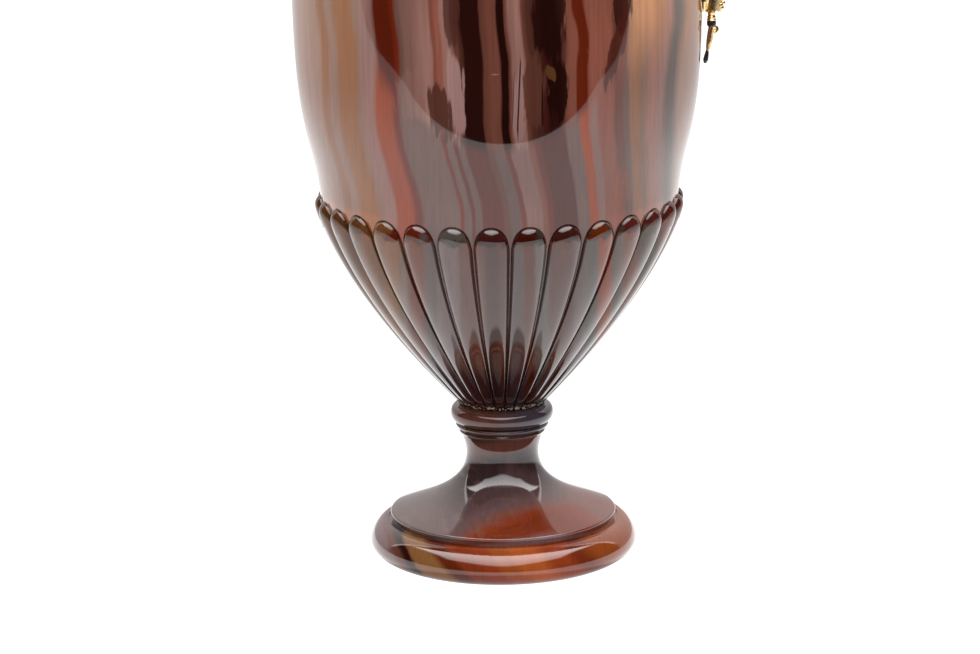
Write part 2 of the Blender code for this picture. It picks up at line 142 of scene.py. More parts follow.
class EwerColours(bpy.types.PropertyGroup):
    """The colours of the stone's layers and of the metal"""

    tan: colour_property("Tan", "Pale beige layers", (0.25, 0.155, 0.12))
    lilac: colour_property("Lilac", "Pale grey violet layers", (0.24, 0.135, 0.125))
    rose: colour_property("Rose", "Dusty rose layers", (0.28, 0.14, 0.115))
    ochre: colour_property("Ochre", "Golden brown layers", (0.21, 0.088, 0.03))
    peach: colour_property("Peach", "Pale orange layers", (0.34, 0.165, 0.085))
    scarlet: colour_property("Scarlet", "Carnelian layers where light shines through", (0.2, 0.034, 0.005))
    red: colour_property("Red", "Deep red layers", (0.085, 0.01, 0.003))
    brown: colour_property("Brown", "Brown layers", (0.13, 0.043, 0.029))
    dark: colour_property("Dark", "Nearly black brown layers", (0.021, 0.004, 0.003))
    slate: colour_property("Slate", "Blue grey layers", (0.09, 0.069, 0.06))
    ash: colour_property("Ash", "Grey layers of the lower body", (0.125, 0.078, 0.072))
    orange: colour_property("Orange", "Orange layers of the foot", (0.27, 0.058, 0.012))
    rust: colour_property("Rust", "Rusty layers of the foot", (0.15, 0.023, 0.006))
    mauve: colour_property("Mauve", "Grey violet layers of the foot", (0.104, 0.056, 0.056))
    gilt: colour_property("Gilt", "Gilded metal", (0.85, 0.61, 0.31))
    enamel: colour_property("Enamel", "Black enamel bands", (0.012, 0.010, 0.010))


class EwerStudio(bpy.types.PropertyGroup):
    """The table, the room and the camera"""

    table_front: length_property(
        "Table edge", "How far the white table reaches in front of the ewer", 0.30
    )
    white: FloatProperty(name="White", description="Brightness of the white surroundings", default=0.9)
    table_glow: FloatProperty(
        name="Table glow", description="Brightness of the table in front of the ewer", default=1.78
    )
    soft_box: FloatProperty(
        name="Soft box", description="Brightness of the soft box above the camera", default=9.0
    )
    camera_distance: length_property("Camera distance", "From the camera to the aim point", 1.12)
    camera_pitch: FloatProperty(
        name="Camera pitch",
        description="How far the camera looks down",
        default=math.radians(13.85),
        subtype="ANGLE",
    )
    camera_roll: FloatProperty(
        name="Camera roll",
        description="Turn about the view axis",
        default=math.radians(-0.70),
        subtype="ANGLE",
    )
    lens: FloatProperty(name="Lens", description="Focal length in millimetres", default=146.9)


def sizes():
    return bpy.context.scene.ewer_sizes


def colours():
    return bpy.context.scene.ewer_colours


def studio():
    return bpy.context.scene.ewer_studio


class Value:
    """A socket that Python's operators work on: each one adds a Math node."""

    def __init__(self, recipe, socket):
        self.recipe = recipe
        self.socket = socket

    def math(self, operation, *others):
        inputs = dict(enumerate((self, *others)))
        return self.recipe.node("ShaderNodeMath", {"operation": operation}, inputs)

    def __add__(self, other):
        return self.math("ADD", other)

    def __sub__(self, other):
        return self.math("SUBTRACT", other)

    def __mul__(self, other):
        return self.math("MULTIPLY", other)

    def __truediv__(self, other):
        return self.math("DIVIDE", other)

    def __pow__(self, other):
        return self.math("POWER", other)

    def __rsub__(self, other):
        return self.recipe.node("ShaderNodeMath", {"operation": "SUBTRACT"}, {0: other, 1: self})

    def __abs__(self):
        return self.math("ABSOLUTE")

    __radd__ = __add__
    __rmul__ = __mul__

    def over(self, low, high, smooth=True):
        """0 below low and 1 above high, or the other way round where low is the higher."""
        kind = "SMOOTHSTEP" if smooth else "LINEAR"
        lower, upper = sorted((low, high))
        ends = (0, 1) if low < high else (1, 0)
        return self.recipe.node(
            "ShaderNodeMapRange",
            {"interpolation_type": kind, "clamp": True},
            {0: self, 1: lower, 2: upper, 3: ends[0], 4: ends[1]},
        )


class Recipe:
    """A material or a world being written, with one method for every node."""

    def __init__(self, owner):
        self.owner = owner
        owner.use_nodes = True
        self.tree = owner.node_tree
        self.tree.nodes.clear()

    @classmethod
    def named(cls, name):
        return cls(bpy.data.materials.new(name))

    def node(self, kind, settings=None, inputs=None, output=0):
        made = self.tree.nodes.new(kind)
        for key, value in (settings or {}).items():
            if key == "stops":
                self.set_stops(made.color_ramp, value)
            else:
                setattr(made, key, value)
        for key, value in (inputs or {}).items():
            if isinstance(value, Value):
                self.tree.links.new(value.socket, made.inputs[key])
            else:
                made.inputs[key].default_value = value
        return Value(self, made.outputs[output]) if made.outputs else made

    @staticmethod
    def set_stops(ramp, stops):
        while len(ramp.elements) > 1:
            ramp.elements.remove(ramp.elements[-1])
        ramp.elements[0].position, ramp.elements[0].color = stops[0][0], (*stops[0][1], 1)
        for position, colour in stops[1:]:
            ramp.elements.new(position).color = (*colour, 1)

    def places(self):
        """X, Y and Z of the piece in millimetres, and all three as a vector."""
        place = self.node("ShaderNodeTexCoord", output="Object")
        place = self.node("ShaderNodeVectorMath", {"operation": "SCALE"}, {0: place, "Scale": 1000})
        return [self.node("ShaderNodeSeparateXYZ", None, {0: place}, axis) for axis in range(3)] + [place]

    def stretched(self, vector, factors):
        return self.node("ShaderNodeVectorMath", {"operation": "MULTIPLY"}, {0: vector, 1: factors})

    def noise(self, vector, scale, detail=2.0, distortion=0.0):
        return self.node(
            "ShaderNodeTexNoise",
            None,
            {"Vector": vector, "Scale": scale, "Detail": detail, "Distortion": distortion},
        )

    def attribute(self, name):
        return self.node("ShaderNodeAttribute", {"attribute_name": name}, None, "Fac")

    def ramp(self, value, stops):
        return self.node("ShaderNodeValToRGB", {"stops": stops}, {0: value})

    def blend(self, factor, first, second, mode="MIX"):
        """Colours blended by a factor."""
        inputs = {0: factor}
        for key, value in ((6, first), (7, second)):
            inputs[key] = value if isinstance(value, Value) else (*value, 1)
        return self.node("ShaderNodeMix", {"data_type": "RGBA", "blend_type": mode}, inputs, 2)

    def bump(self, height, strength, distance):
        return self.node(
            "ShaderNodeBump", None, {"Height": height, "Strength": strength, "Distance": distance}
        )

    def finish(self, **inputs):
        """Joins the surface to the output. Names are the Principled shader's, with _ for a space."""
        named = {key.replace("_", " "): value for key, value in inputs.items()}
        surface = self.node("ShaderNodeBsdfPrincipled", None, named)
        self.node("ShaderNodeOutputMaterial", None, {"Surface": surface})
        return self.owner


def layer_stops(layers, low, high):
    """Colour ramp stops from a list of (edge in mm, colour name, softness in mm): each layer reaches from
    its edge to the next one's, and blends in over its softness."""
    stops = []
    for edge, name, soft in layers:
        colour = shade(name)
        if stops:
            stops.append(((edge - soft / 2 - low) / (high - low), stops[-1][1]))
        stops.append(((edge + soft / 2 - low) / (high - low), colour))
    return stops


# The agate's layers from left to right: edge in mm, colour and its factor, softness in mm
LEFT_SIDE = [
    (-58, "tan*1.05", 0),
    (-51.0, "tan*0.95", 3.0),
    (-47.4, "ochre", 1.0),
    (-45.2, "tan*0.88", 1.0),
    (-42.9, "ochre*1.05", 1.4),
    (-37.6, "tan*0.82", 1.2),
    (-36.0, "lilac", 1.4),
]
UPPER_LAYERS = LEFT_SIDE + [
    (-32.0, "red", 1.2),
    (-27.4, "red*1.5", 0.8),
    (-26.0, "rose*0.48", 0.8),
    (-24.8, "rose*0.66", 1.0),
    (-22.0, "rose*0.82", 2.0),
    (-20.0, "rose*0.98", 1.4),
    (-17.1, "brown*1.5", 0.5),
    (-15.9, "brown*1.9", 0.4),
    (-14.4, "rose*0.98", 0.8),
    (-12.8, "rose*0.75", 0.8),
    (-11.6, "brown*0.8", 0.9),
    (-10.2, "brown*0.4", 0.7),
    (-9.2, "dark*0.8", 0.8),
    (-4.0, "brown*0.85", 0.6),
    (-2.4, "brown*1.1", 0.8),
    (0.5, "dark*0.6", 0.6),
    (2.7, "brown*1.0", 0.5),
    (3.5, "rose*0.85", 0.7),
    (5.2, "rose*1.02", 1.0),
    (7.0, "brown*0.9", 0.8),
    (8.2, "brown*0.5", 0.8),
    (9.8, "brown*0.38", 1.0),
    (11.4, "dark*2.0", 1.0),
    (13.0, "dark*1.1", 1.0),
    (15.6, "dark*1.6", 0.8),
    (16.6, "brown*0.7", 0.8),
    (17.8, "brown*1.5", 0.9),
    (20.6, "red*1.25", 0.6),
    (23.6, "brown*1.75", 0.7),
    (27.0, "brown*1.5", 1.0),
    (29.4, "brown*0.9", 1.0),
    (31.2, "brown*1.5", 1.0),
    (33.9, "peach*1.0", 0.8),
    (35.2, "peach*1.2", 1.0),
    (37.6, "peach*1.3", 0.8),
    (39.2, "peach*1.0", 1.6),
    (42.0, "rose*1.1", 1.4),
    (44.2, "slate*1.1", 1.6),
    (47.4, "peach*0.9", 2.0),
]
LOWER_LAYERS = LEFT_SIDE + [
    (-32.9, "scarlet*1.25", 1.0),
    (-28.0, "red*1.4", 1.2),
    (-26.0, "ash*0.95", 1.0),
    (-15.8, "red*1.4", 0.6),
    (-14.7, "ash*0.9", 0.6),
    (-12.9, "red*0.95", 0.5),
    (-11.8, "ash*0.82", 0.6),
    (-9.9, "red*0.85", 0.8),
    (-4.2, "brown*0.65", 0.8),
    (-2.4, "ash*0.72", 1.0),
    (0.5, "red*1.2", 0.5),
    (1.9, "lilac*0.70", 0.6),
    (6.7, "brown*1.15", 1.0),
    (8.4, "red*1.15", 1.0),
    (10.2, "red*0.68", 1.0),
    (17.4, "ash*0.90", 0.8),
    (21.3, "scarlet*1.2", 0.7),
    (23.9, "lilac*0.72", 0.7),
    (26.2, "brown*1.35", 0.9),
    (30.4, "brown*0.75", 1.0),
    (33.0, "ash*0.75", 1.0),
    (34.6, "peach*0.55", 1.0),
    (37.6, "tan*0.58", 0.8),
    (39.2, "rose*0.80", 1.6),
    (42.0, "lilac*0.85", 1.4),
    (44.2, "slate*0.85", 1.6),
    (47.4, "tan*0.95", 2.0),
]

# The lobes and the stone round the body's foot
LOBE_LAYERS = [
    (-58, "ochre*0.45", 0),
    (-38.0, "ochre*0.65", 2.0),
    (-31.5, "ochre*0.95", 2.0),
    (-27.0, "tan*0.75", 1.5),
    (-25.0, "scarlet*0.8", 1.5),
    (-20.5, "ash*0.8", 1.5),
    (-17.5, "ash*1.3", 1.0),
    (-11.2, "brown*0.95", 1.0),
    (-4.3, "brown*0.5", 1.2),
    (-0.8, "brown*0.7", 1.0),
    (2.5, "ash*0.7", 1.0),
    (6.0, "rust*0.7", 1.0),
    (9.0, "slate*1.4", 1.0),
    (12.8, "brown*0.8", 1.2),
    (19.5, "ash*1.0", 1.2),
    (23.3, "slate*1.0", 1.0),
    (26.3, "scarlet*1.15", 1.0),
    (30.2, "slate*1.1", 1.0),
    (33.5, "brown*1.0", 1.2),
    (37.5, "slate*0.7", 1.5),
    (44.0, "brown*0.9", 2.0),
]

# The thick tips of the lobes, each cut from other layers and kept dark: a painted reflection of the dark
# room above them
CAP_LAYERS = [
    (-60, "ochre*0.25", 0),
    (-36.0, "ochre*0.40", 2.0),
    (-28.5, "red*0.80", 1.5),
    (-19.0, "slate*0.65", 1.5),
    (-9.0, "dark*1.5", 1.5),
    (1.5, "red*0.35", 1.2),
    (8.5, "slate*0.30", 1.0),
    (12.0, "dark*1.5", 1.0),
    (22.5, "scarlet*0.40", 1.2),
    (28.5, "slate*0.35", 1.2),
    (33.0, "dark*2.0", 1.5),
]

# Lenses and clouds in the front half of the body: x, z, half width, half height, slant, colour, strength
LENSES = [
    (-23.4, 141.0, 3.6, 7.0, 0.05, "rose*0.85", 0.4),
    (-12.3, 164.0, 1.9, 10.0, -0.05, "brown*0.45", 0.8),
    (-11.2, 142.5, 2.2, 11.5, -0.07, "lilac*1.35", 0.9),
    (-15.4, 137.0, 3.0, 7.5, -0.10, "brown*0.5", 0.9),
    (-1.0, 147.6, 1.1, 0.2, 0.0, "lilac*1.4", 0.6),
    (5.3, 138.5, 1.8, 10.5, 0.02, "lilac*1.3", 0.8),
    (5.2, 140.5, 0.22, 11.0, 0.05, "dark", 0.9),
    (3.7, 140.0, 0.15, 7.5, 0.05, "dark*2", 0.7),
    (13.2, 163.0, 4.3, 13.0, 0.0, "dark*0.6", 0.9),
    (15.4, 143.0, 2.9, 8.5, 0.0, "dark*0.55", 0.95),
    (13.6, 147.6, 1.3, 2.2, -0.3, "ochre*0.6", 0.6),
    (9.4, 143.0, 3.0, 9.5, 0.06, "brown*0.70", 0.9),
    (11.4, 139.5, 0.28, 6.5, 0.0, "dark*0.7", 0.9),
    (27.0, 158.5, 3.2, 14.0, 0.0, "brown*2.0", 0.7),
    (32.7, 163.5, 2.4, 7.0, 0.0, "dark*1.5", 0.95),
    (31.2, 152.5, 1.9, 9.5, 0.28, "dark*2.6", 0.85),
    (31.0, 111.0, 1.6, 9.0, -0.05, "scarlet*1.2", 0.5),
    (33.6, 113.5, 0.8, 5.0, -0.1, "orange*0.8", 0.5),
]

# The foot's arched sheets, from below, and the bands across its rim, from left to right
FOOT_LAYERS = [
    (-60, "orange*0.5", 0),
    (-7.0, "orange*0.8", 4.0),
    (-4.2, "mauve*1.5", 1.5),
    (-1.8, "rust*0.75", 1.0),
    (0.5, "rust*0.95", 0.6),
    (1.1, "brown*1.0", 0.8),
    (2.1, "mauve*0.85", 1.2),
    (4.0, "mauve*0.50", 2.0),
    (7.0, "mauve*0.24", 2.5),
    (14.5, "brown*0.80", 2.0),
    (19.5, "brown*0.42", 2.0),
    (25.0, "brown*0.75", 3.0),
]
RIM_LAYERS = [
    (-60, "mauve*1.2", 0),
    (-31.0, "brown*0.6", 2.5),
    (-28.0, "dark*0.7", 1.6),
    (-24.8, "ochre*0.75", 1.4),
    (-17.0, "rust*0.45", 2.2),
    (-12.0, "rust*0.9", 2.0),
    (-6.0, "rust*1.1", 2.0),
    (-1.0, "orange*0.75", 2.4),
    (5.0, "orange*1.0", 3.0),
    (14.0, "rust*1.2", 4.0),
    (21.0, "rust*0.7", 3.0),
    (26.0, "orange*0.7", 4.0),
]


class Ewer:
    """The ewer's own curves, worked out from its sizes."""

    def __init__(self):
        self.base = BODY_LOW[2]
        self.top = BODY_HIGH[2]
        self.tips = self.base + sizes().gadroon_top
        self.widest = self.base + sizes().widest
        self.arch = 7.5 * MM
        self.base_radius, self.bend_radius = mm(11.6, 49.8)
        self.top_radius, self.mouth_radius = mm(19.6, 13.4)
        self.wall = 5.0 * MM
        self.floor = self.base + 17.0 * MM
        curve = self.body_curve(200)
        self.heights, self.radii = curve[:, 1], curve[:, 0]
        count = sizes().gadroons
        self.turns = FIRST_LOBE + np.arange(count) * 2 * math.pi / count

    def body_curve(self, steps):
        """Three Bezier curves: up the gadrooned part, on to the widest point, over the shoulder."""
        base = (self.base_radius, self.base)
        bend = (self.bend_radius, self.tips)
        wide = (sizes().body_radius, self.widest)
        rise, drop = wide[1] - bend[1], self.top - wide[1]
        first = bezier(base, (base[0] + 35.6 * MM, base[1] + 38.5 * MM), bend, bend, steps)
        second = bezier(
            bend,
            (bend[0] + 0.03 * rise, bend[1] + 0.29 * rise),
            (wide[0], wide[1] - 0.75 * rise),
            wide,
            steps,
        )
        third = bezier(
            wide,
            (wide[0], wide[1] + 0.5 * drop),
            (self.top_radius + 0.66 * (wide[0] - self.top_radius), self.top - 0.1 * drop),
            (self.top_radius, self.top),
            steps,
        )
        return np.vstack([[base], first, second, third])

    def radius(self, height):
        """The plain surface's radius at a height."""
        return np.interp(height, self.heights, self.radii)

    def relief(self, height):
        """How far a lobe stands out at a height, in proportion to the radius there."""
        return sizes().gadroon_relief * self.radius(height) / self.radius(self.tips)


def bezier(start, leave, arrive, end, steps):
    """Points of a cubic Bezier curve, the start left out."""
    t = np.linspace(0, 1, steps + 1)[1:, None]
    corners = [np.array(p, float) for p in (start, leave, arrive, end)]
    weights = ((1 - t) ** 3, 3 * t * (1 - t) ** 2, 3 * t**2 * (1 - t), t**3)
    return sum(w * c for w, c in zip(weights, corners))


def half_round(low, high, inner, outer, steps):
    """A half-ellipse from height low to height high that stands out from radius inner to outer."""
    turn = np.linspace(-math.pi / 2, math.pi / 2, steps + 1)
    height = (low + high) / 2 + (high - low) / 2 * np.sin(turn)
    return np.column_stack([inner + (outer - inner) * np.cos(turn), height])


def grid_faces(rows, columns, wrap=True, first=0):
    """Quads of a grid of points numbered row by row, closed round each row where wrap is set."""
    across = np.arange(columns if wrap else columns - 1)
    row, column = np.meshgrid(np.arange(rows - 1), across, indexing="ij")
    after = (column + 1) % columns
    low, high = row * columns, (row + 1) * columns
    quads = np.stack([low + column, low + after, high + after, high + column], -1)
    return quads.reshape(-1, 4) + first


def piece(name, points, faces, material, replaced, slot, carving=None, sharp=42):
    """A mesh object at the origin that rides on the root body. Carving is a value for each point, for the
    material, and edges sharper than so many degrees stay sharp."""
    mesh = bpy.data.meshes.new(name)
    points = np.asarray(points, float).reshape(-1, 3)
    mesh.from_pydata(points, [], [tuple(f) for f in np.asarray(faces).tolist()])
    if carving is not None:
        layer = mesh.attributes.new("carving", "FLOAT", "POINT")
        layer.data.foreach_set("value", np.asarray(carving, np.float32).ravel())
    shape = bmesh.new()
    shape.from_mesh(mesh)
    bmesh.ops.remove_doubles(shape, verts=shape.verts, dist=MERGE_DISTANCE)
    open_edges = [e for e in shape.edges if e.is_boundary]
    if open_edges:
        bmesh.ops.holes_fill(shape, edges=open_edges, sides=0)
    bmesh.ops.recalc_face_normals(shape, faces=shape.faces)
    shape.to_mesh(mesh)
    shape.free()
    mesh.shade_smooth()
    mesh.set_sharp_from_angle(angle=math.radians(sharp))
    made = bpy.data.objects.new(name, mesh)
    mesh.materials.append(material)
    bpy.context.scene.collection.objects.link(made)
    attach(made, "root")
    if replaced:
        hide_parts(replaced)
    return made


def turned_points(outline, columns):
    """Points (r cos a, r sin a, z) for each (r, z) of the outline and each angle a round the axis."""
    outline = np.asarray(outline, float)
    angle = np.arange(columns) * 2 * math.pi / columns
    radius, height = outline[:, :1], outline[:, 1:]
    return np.stack([radius * np.cos(angle), radius * np.sin(angle), height + 0 * angle], -1)


def smooth_outline(outline, spacing):
    """The outline with points added along its straight stretches, about one spacing apart."""
    outline = np.asarray(outline, float)
    step = np.linalg.norm(np.diff(outline, axis=0), axis=1)
    along = np.concatenate([[0], np.cumsum(step)])
    extra = np.arange(0, along[-1], spacing)
    at = np.unique(np.concatenate([along, extra]).round(9))
    return np.column_stack([np.interp(at, along, outline[:, i]) for i in (0, 1)])


def sector_paths(ewer):
    """The U-shaped line of points that each lobe's outline follows, up its left side, round its arch and
    down its right side. Returns, for each point, the place (angle from the lobe's middle, height) on the
    sector's border, on the lobe's outline and on its middle line, and the height of the border's top."""
    pitch = 2 * math.pi / sizes().gadroons
    half = pitch / 2
    spring = ewer.tips - ewer.arch
    join = ewer.tips + 2.4 * MM
    width = half * sizes().gadroon_share
    side_heights = ewer.base + (spring - ewer.base) * np.linspace(0, 1, 42)[:-1]
    turn = np.linspace(-math.pi / 2, math.pi / 2, 29)
    flat = np.full_like(side_heights, 1.0)
    corner = np.clip((math.pi / 2 - abs(turn)) / (math.pi / 4), 0, 1)
    arch_border = np.column_stack(
        [half * np.clip(turn / (math.pi / 4), -1, 1), spring + (join - spring) * corner]
    )
    flat_top = np.sign(turn) * abs(np.sin(turn)) ** 0.94, np.cos(turn) ** 0.88
    arch_outline = np.column_stack([width * flat_top[0], spring + (ewer.arch - 0.4 * MM) * flat_top[1]])
    arch_middle = np.column_stack([0 * turn, 0 * turn + spring])

    def sided(angle, sign):
        return np.column_stack([sign * angle * flat, side_heights])

    def whole(angle, arch):
        return np.vstack([sided(angle, -1), arch, sided(angle, 1)[::-1]])

    return whole(half, arch_border), whole(width, arch_outline), whole(0.0, arch_middle), join


def carved_points(ewer):
    """The gadrooned part as rings of points, from each sector's border, through the groove round the lobe,
    over the lobe to its middle line. With k running from 0 on the lobe's outline to 1 on its middle line,
    the lobe stands (1 - (1 - k)^n)^m of its relief above the plain surface, a nearly flat pillow with round
    shoulders, whose n and m grow round the arch to its tip. The groove is a narrow V outside k = 0. Returns
    angle, height, radius, the carving value and the height of the sectors' upper border. The carving value
    is 0 on plain stone, falls to -1 in the groove, and rises from 1 on the lobe's outline to 2 on its
    middle line."""
    border, outline, middle, join = sector_paths(ewer)
    near = ewer.radius(outline[:, 1])
    gap = np.hypot((border - outline)[:, 0] * near, (border - outline)[:, 1])
    relief = ewer.relief(outline[:, 1])
    width, depth = GROOVE_WIDTH, GROOVE_DEPTH
    rings, rises, carving = [border], [0 * relief], [0 * relief]
    side, top = abs(outline[:, 0]), outline[:, 1]
    tip = np.clip((top - middle[:, 1].max()) / (1 * MM), 0, 1) * (1 - side / side.max())
    for away in (1.5, 1.0, 0.55, 0.2):
        share = np.minimum(away * width / np.maximum(gap, 1e-9), 0.9 - 0.2 * (1.5 - away))
        rings.append(outline + (border - outline) * share[:, None])
        fall = np.clip(1 - share * gap / width, 0, 1)
        rises.append(-depth * fall)
        carving.append(-fall)
    for k in (0.0, 0.012, 0.03, 0.055, 0.09, 0.14, 0.20, 0.28, 0.38, 0.5, 0.65, 0.82, 1.0):
        rings.append(outline + (middle - outline) * k)
        rise = (1 - (1 - k) ** (2.5 + 1.7 * tip)) ** (0.52 + 0.40 * tip)
        rises.append(relief * rise - depth * (1 - k) ** 60)
        carving.append(1 + rise)
    angle = np.stack([ring[:, 0] for ring in rings])
    height = np.stack([ring[:, 1] for ring in rings])
    radius = ewer.radius(height) + np.stack(rises)
    return angle, height, radius, np.stack(carving), join


def carved_sectors(ewer):
    """All lobes: one sector turned to each lobe's place. Returns their points, faces and carving values,
    and the angles and the height of the points along a sector's upper border."""
    angle, height, radius, carving, join = carved_points(ewer)
    count = len(ewer.turns)
    around = angle[None] + ewer.turns[:, None, None]
    points = np.stack(
        [radius[None] * np.cos(around), radius[None] * np.sin(around), height[None] + 0 * around], -1
    )
    rows, columns = angle.shape
    faces = np.vstack([grid_faces(rows, columns, False, i * rows * columns) for i in range(count)])
    across = np.sort(angle[0][height[0] >= join - 1e-9])
    return points.reshape(-1, 3), faces, np.tile(carving.ravel(), count), across, join


def shell_rows(ewer, join):
    """(radius, height) from the lobes' upper border over the shoulder and the mouth's rounded rim, then
    down the cavity, one wall inside the outer surface, to the middle of its floor."""
    upper = np.concatenate([np.linspace(join, ewer.widest, 34), np.linspace(ewer.widest, ewer.top, 40)[1:]])
    outside = np.column_stack([ewer.radius(upper), upper])
    outside = outside[outside[:, 0] > ewer.top_radius + 0.2 * MM]
    rim = [
        (ewer.top_radius, ewer.top),
        (ewer.mouth_radius + 0.5 * MM, ewer.top),
        (ewer.mouth_radius, ewer.top - 0.5 * MM),
    ]
    heights = np.linspace(ewer.top - ewer.wall - 0.5 * MM, ewer.floor + 0.4 * MM, 18)
    slope = np.gradient(ewer.radii) / np.gradient(ewer.heights)
    normal = np.column_stack([np.ones_like(slope), -slope]) / np.sqrt(1 + slope**2)[:, None]
    inner = np.column_stack([ewer.radii, ewer.heights]) - ewer.wall * normal
    order = np.argsort(inner[:, 1])
    radii = np.interp(heights, inner[order, 1], inner[order, 0])
    radii = np.where(heights > ewer.widest, np.maximum(radii, ewer.mouth_radius), radii)
    bowl = np.clip((heights - ewer.floor) / (14 * MM), 0, 1)
    cavity = np.column_stack([radii * np.sqrt(1 - (1 - bowl) ** 2), heights])
    return np.vstack([outside, rim, cavity, [(0, ewer.floor)]])


def layer_colours(mix, layer, layers):
    """The colours of one set of layers. A ramp holds fifteen of them, and the next ramp starts with the
    same layer that the last one ends with."""
    colour = None
    for start in range(0, len(layers) - 1, RAMP_LAYERS - 1):
        part = layers[start : start + RAMP_LAYERS]
        low, high = part[0][0] - 1, part[-1][0] + 3
        ramp = mix.ramp(layer.over(low, high, False), layer_stops(part, low, high))
        split = (part[0][0] + part[1][0]) / 2
        colour = mix.blend(layer.math("GREATER_THAN", split), colour, ramp) if colour else ramp
    return colour


def stone(mix, colour, place):
    """The polished surface that all the agate has: faint threads along the layers, painted shade in the
    grooves and a painted dark reflection along the lobes' steep edges, and light wear."""
    threads = mix.noise(mix.stretched(place, (1.3, 0.35, 0.03)), 1.0, 3.0)
    colour = mix.blend(threads.over(0.35, 0.8) * 0.30, colour, THREAD_TINT, "MULTIPLY")
    carving = mix.attribute("carving")
    # Painted shade in the grooves and a painted dark reflection along the lobes' steep edges
    edge_shade = carving.over(-0.45, -0.95).math("MAXIMUM", carving.over(1.35, 1.0) * carving.over(0.5, 0.9))
    colour = mix.blend(edge_shade * 0.9, colour, PAINTED_EDGE_SHADE)
    wear = mix.noise(mix.stretched(place, (0.3, 0.3, 5.0)), 1.0, 3.0)
    return mix.finish(Base_Color=colour, Roughness=0.035 + wear.over(0.55, 0.8) * 0.05, IOR=1.54)


def shade(name):
    """A colour from the list, times a factor where its name has one."""
    name, _, factor = name.partition("*")
    return tuple(c * float(factor or 1) for c in getattr(colours(), name))


def lenses(mix, colour, x, z, edge):
    """Lens shapes laid over the colour: each covers where the distance from its middle, counted in its
    half width and half height, is under one. The edge value frays their outlines."""
    for cx, cz, width, height, slant, name, strength in LENSES:
        across = (x - (z - cz) * slant - cx) / width
        up = (z - cz) / height
        inside = (across * across + up * up) ** 0.5 + edge * 1.5
        colour = mix.blend(inside.over(1.12, 0.88) * strength, colour, shade(name))
    return colour


def body_agate():
    """The body's banded agate. Its layers are upright sheets across X that lean over below the middle of
    the body. One set of colours shows above a bowl-shaped border, 126.8 mm up plus 0.019 times the square
    of x as far as 37 mm out, and a greyer set below it. This change is partly the stone's own and partly a
    painted reflection: the border copies where the polished front mirrors the edge of the white table, and
    it runs all the way round. The lobes and all the stone near the foot have a third set, and the lobes'
    thick tips a fourth, kept dark as a painted reflection of the dark room above them. Both are warmer at
    the sides and darker at the foot, where the darkening is painted shade and a painted reflection of the
    dark foot."""
    mix = Recipe.named("body_agate")
    x, y, z, place = mix.places()
    lean = z.over(135, 106) * 5.3 * x.over(44, 8, False)
    wave = mix.noise(mix.stretched(place, (0.018, 0.018, 0.03)), 1.0, 1.0)
    ripple = mix.noise(mix.stretched(place, (0.12, 0.05, 0.055)), 1.0, 3.0)
    fray = mix.noise(mix.stretched(place, (0.8, 0.5, 0.10)), 1.0, 3.0) - 0.5
    flare = z.over(134, 168) * 2.6 * x.over(34, 42)
    layer = x - lean - flare + (wave - 0.5) * 1.2 + (ripple - 0.5) * 1.2 + fray * 0.7
    bend = z.over(149, 166) * 1.3 * x.over(38, 30) - abs(z - 157).over(9, 0) * 0.9 * x.over(14, 20)
    upper = layer_colours(mix, layer + bend, UPPER_LAYERS)
    front = y.over(10, -10)
    lower = layer_colours(mix, layer, LOWER_LAYERS)
    lower = mix.blend(1.0, lower, LOWER_TINT, "MULTIPLY")
    # Border between the two sets: partly the stone's own, partly a painted reflection of the white table's
    # edge on the polished front
    border = abs(x).math("MINIMUM", BORDER_REACH) ** 2 * BORDER_CURVE + BORDER_HEIGHT
    soft = abs(x).over(26, 36) * 9 + 2
    colour = mix.blend(((z - border) / soft).over(-1.0, 1.0), lower, upper)
    colour = mix.blend(front, colour, lenses(mix, colour, x - lean * 0.5, z, fray))
    flank = z.over(138, 166) * abs(x).over(30, 40)
    colour = mix.blend(flank, colour, FLANK_TINT, "MULTIPLY")
    cloud = mix.noise(mix.stretched(place, (0.05, 0.05, 0.022)), 1.0, 3.0)
    colour = mix.blend(cloud.over(0.35, 0.65), colour, CLOUD_TINT, "MULTIPLY")
    low = layer_colours(mix, layer + lean, LOBE_LAYERS)
    lobe = mix.attribute("carving").over(0.3, 0.9)
    inside = lobe.math("MAXIMUM", z.over(102, 90))
    colour = mix.blend(inside * z.over(*LOBE_ARCHES), colour, low)
    flaw = mix.noise(mix.stretched(place, (0.35, 0.35, 0.25)), 1.0, 3.0) - 0.5
    # The lobes' tips are kept dark, a painted reflection of the dark room above them over their own varied
    # colours
    caps = layer_colours(mix, x + flaw * 16, CAP_LAYERS)
    colour = mix.blend(lobe * (z + flaw * 5).over(*LOBE_TIPS), colour, caps)
    outer = z.over(107, 105) * abs(x).over(*LOBE_SIDES)
    colour = mix.blend(outer, colour, SIDE_TINT, "MULTIPLY")
    # Painted shade: the body is darkened towards its foot, standing in for shade and for the foot mirrored
    # in the lower lobes
    colour = mix.blend(z.over(*PAINTED_BASE_SHADE), colour, BASE_SHADE_TINT, "MULTIPLY")
    specks = mix.noise(mix.stretched(place, (1.1, 1.1, 0.8)), 1.0, 3.0)
    colour = mix.blend(specks.over(0.50, 0.56) * z.over(*CRUST_EDGE), colour, CRUST)
    return stone(mix, colour, place)


def plain_agate(name):
    """Agate for the neck, in the body's upper layers."""
    mix = Recipe.named(name)
    x, _, _, place = mix.places()
    wave = mix.noise(mix.stretched(place, (0.03, 0.03, 0.03)), 1.0, 1.0)
    layer = x + (wave - 0.5) * 4
    return stone(mix, layer_colours(mix, layer, UPPER_LAYERS), place)


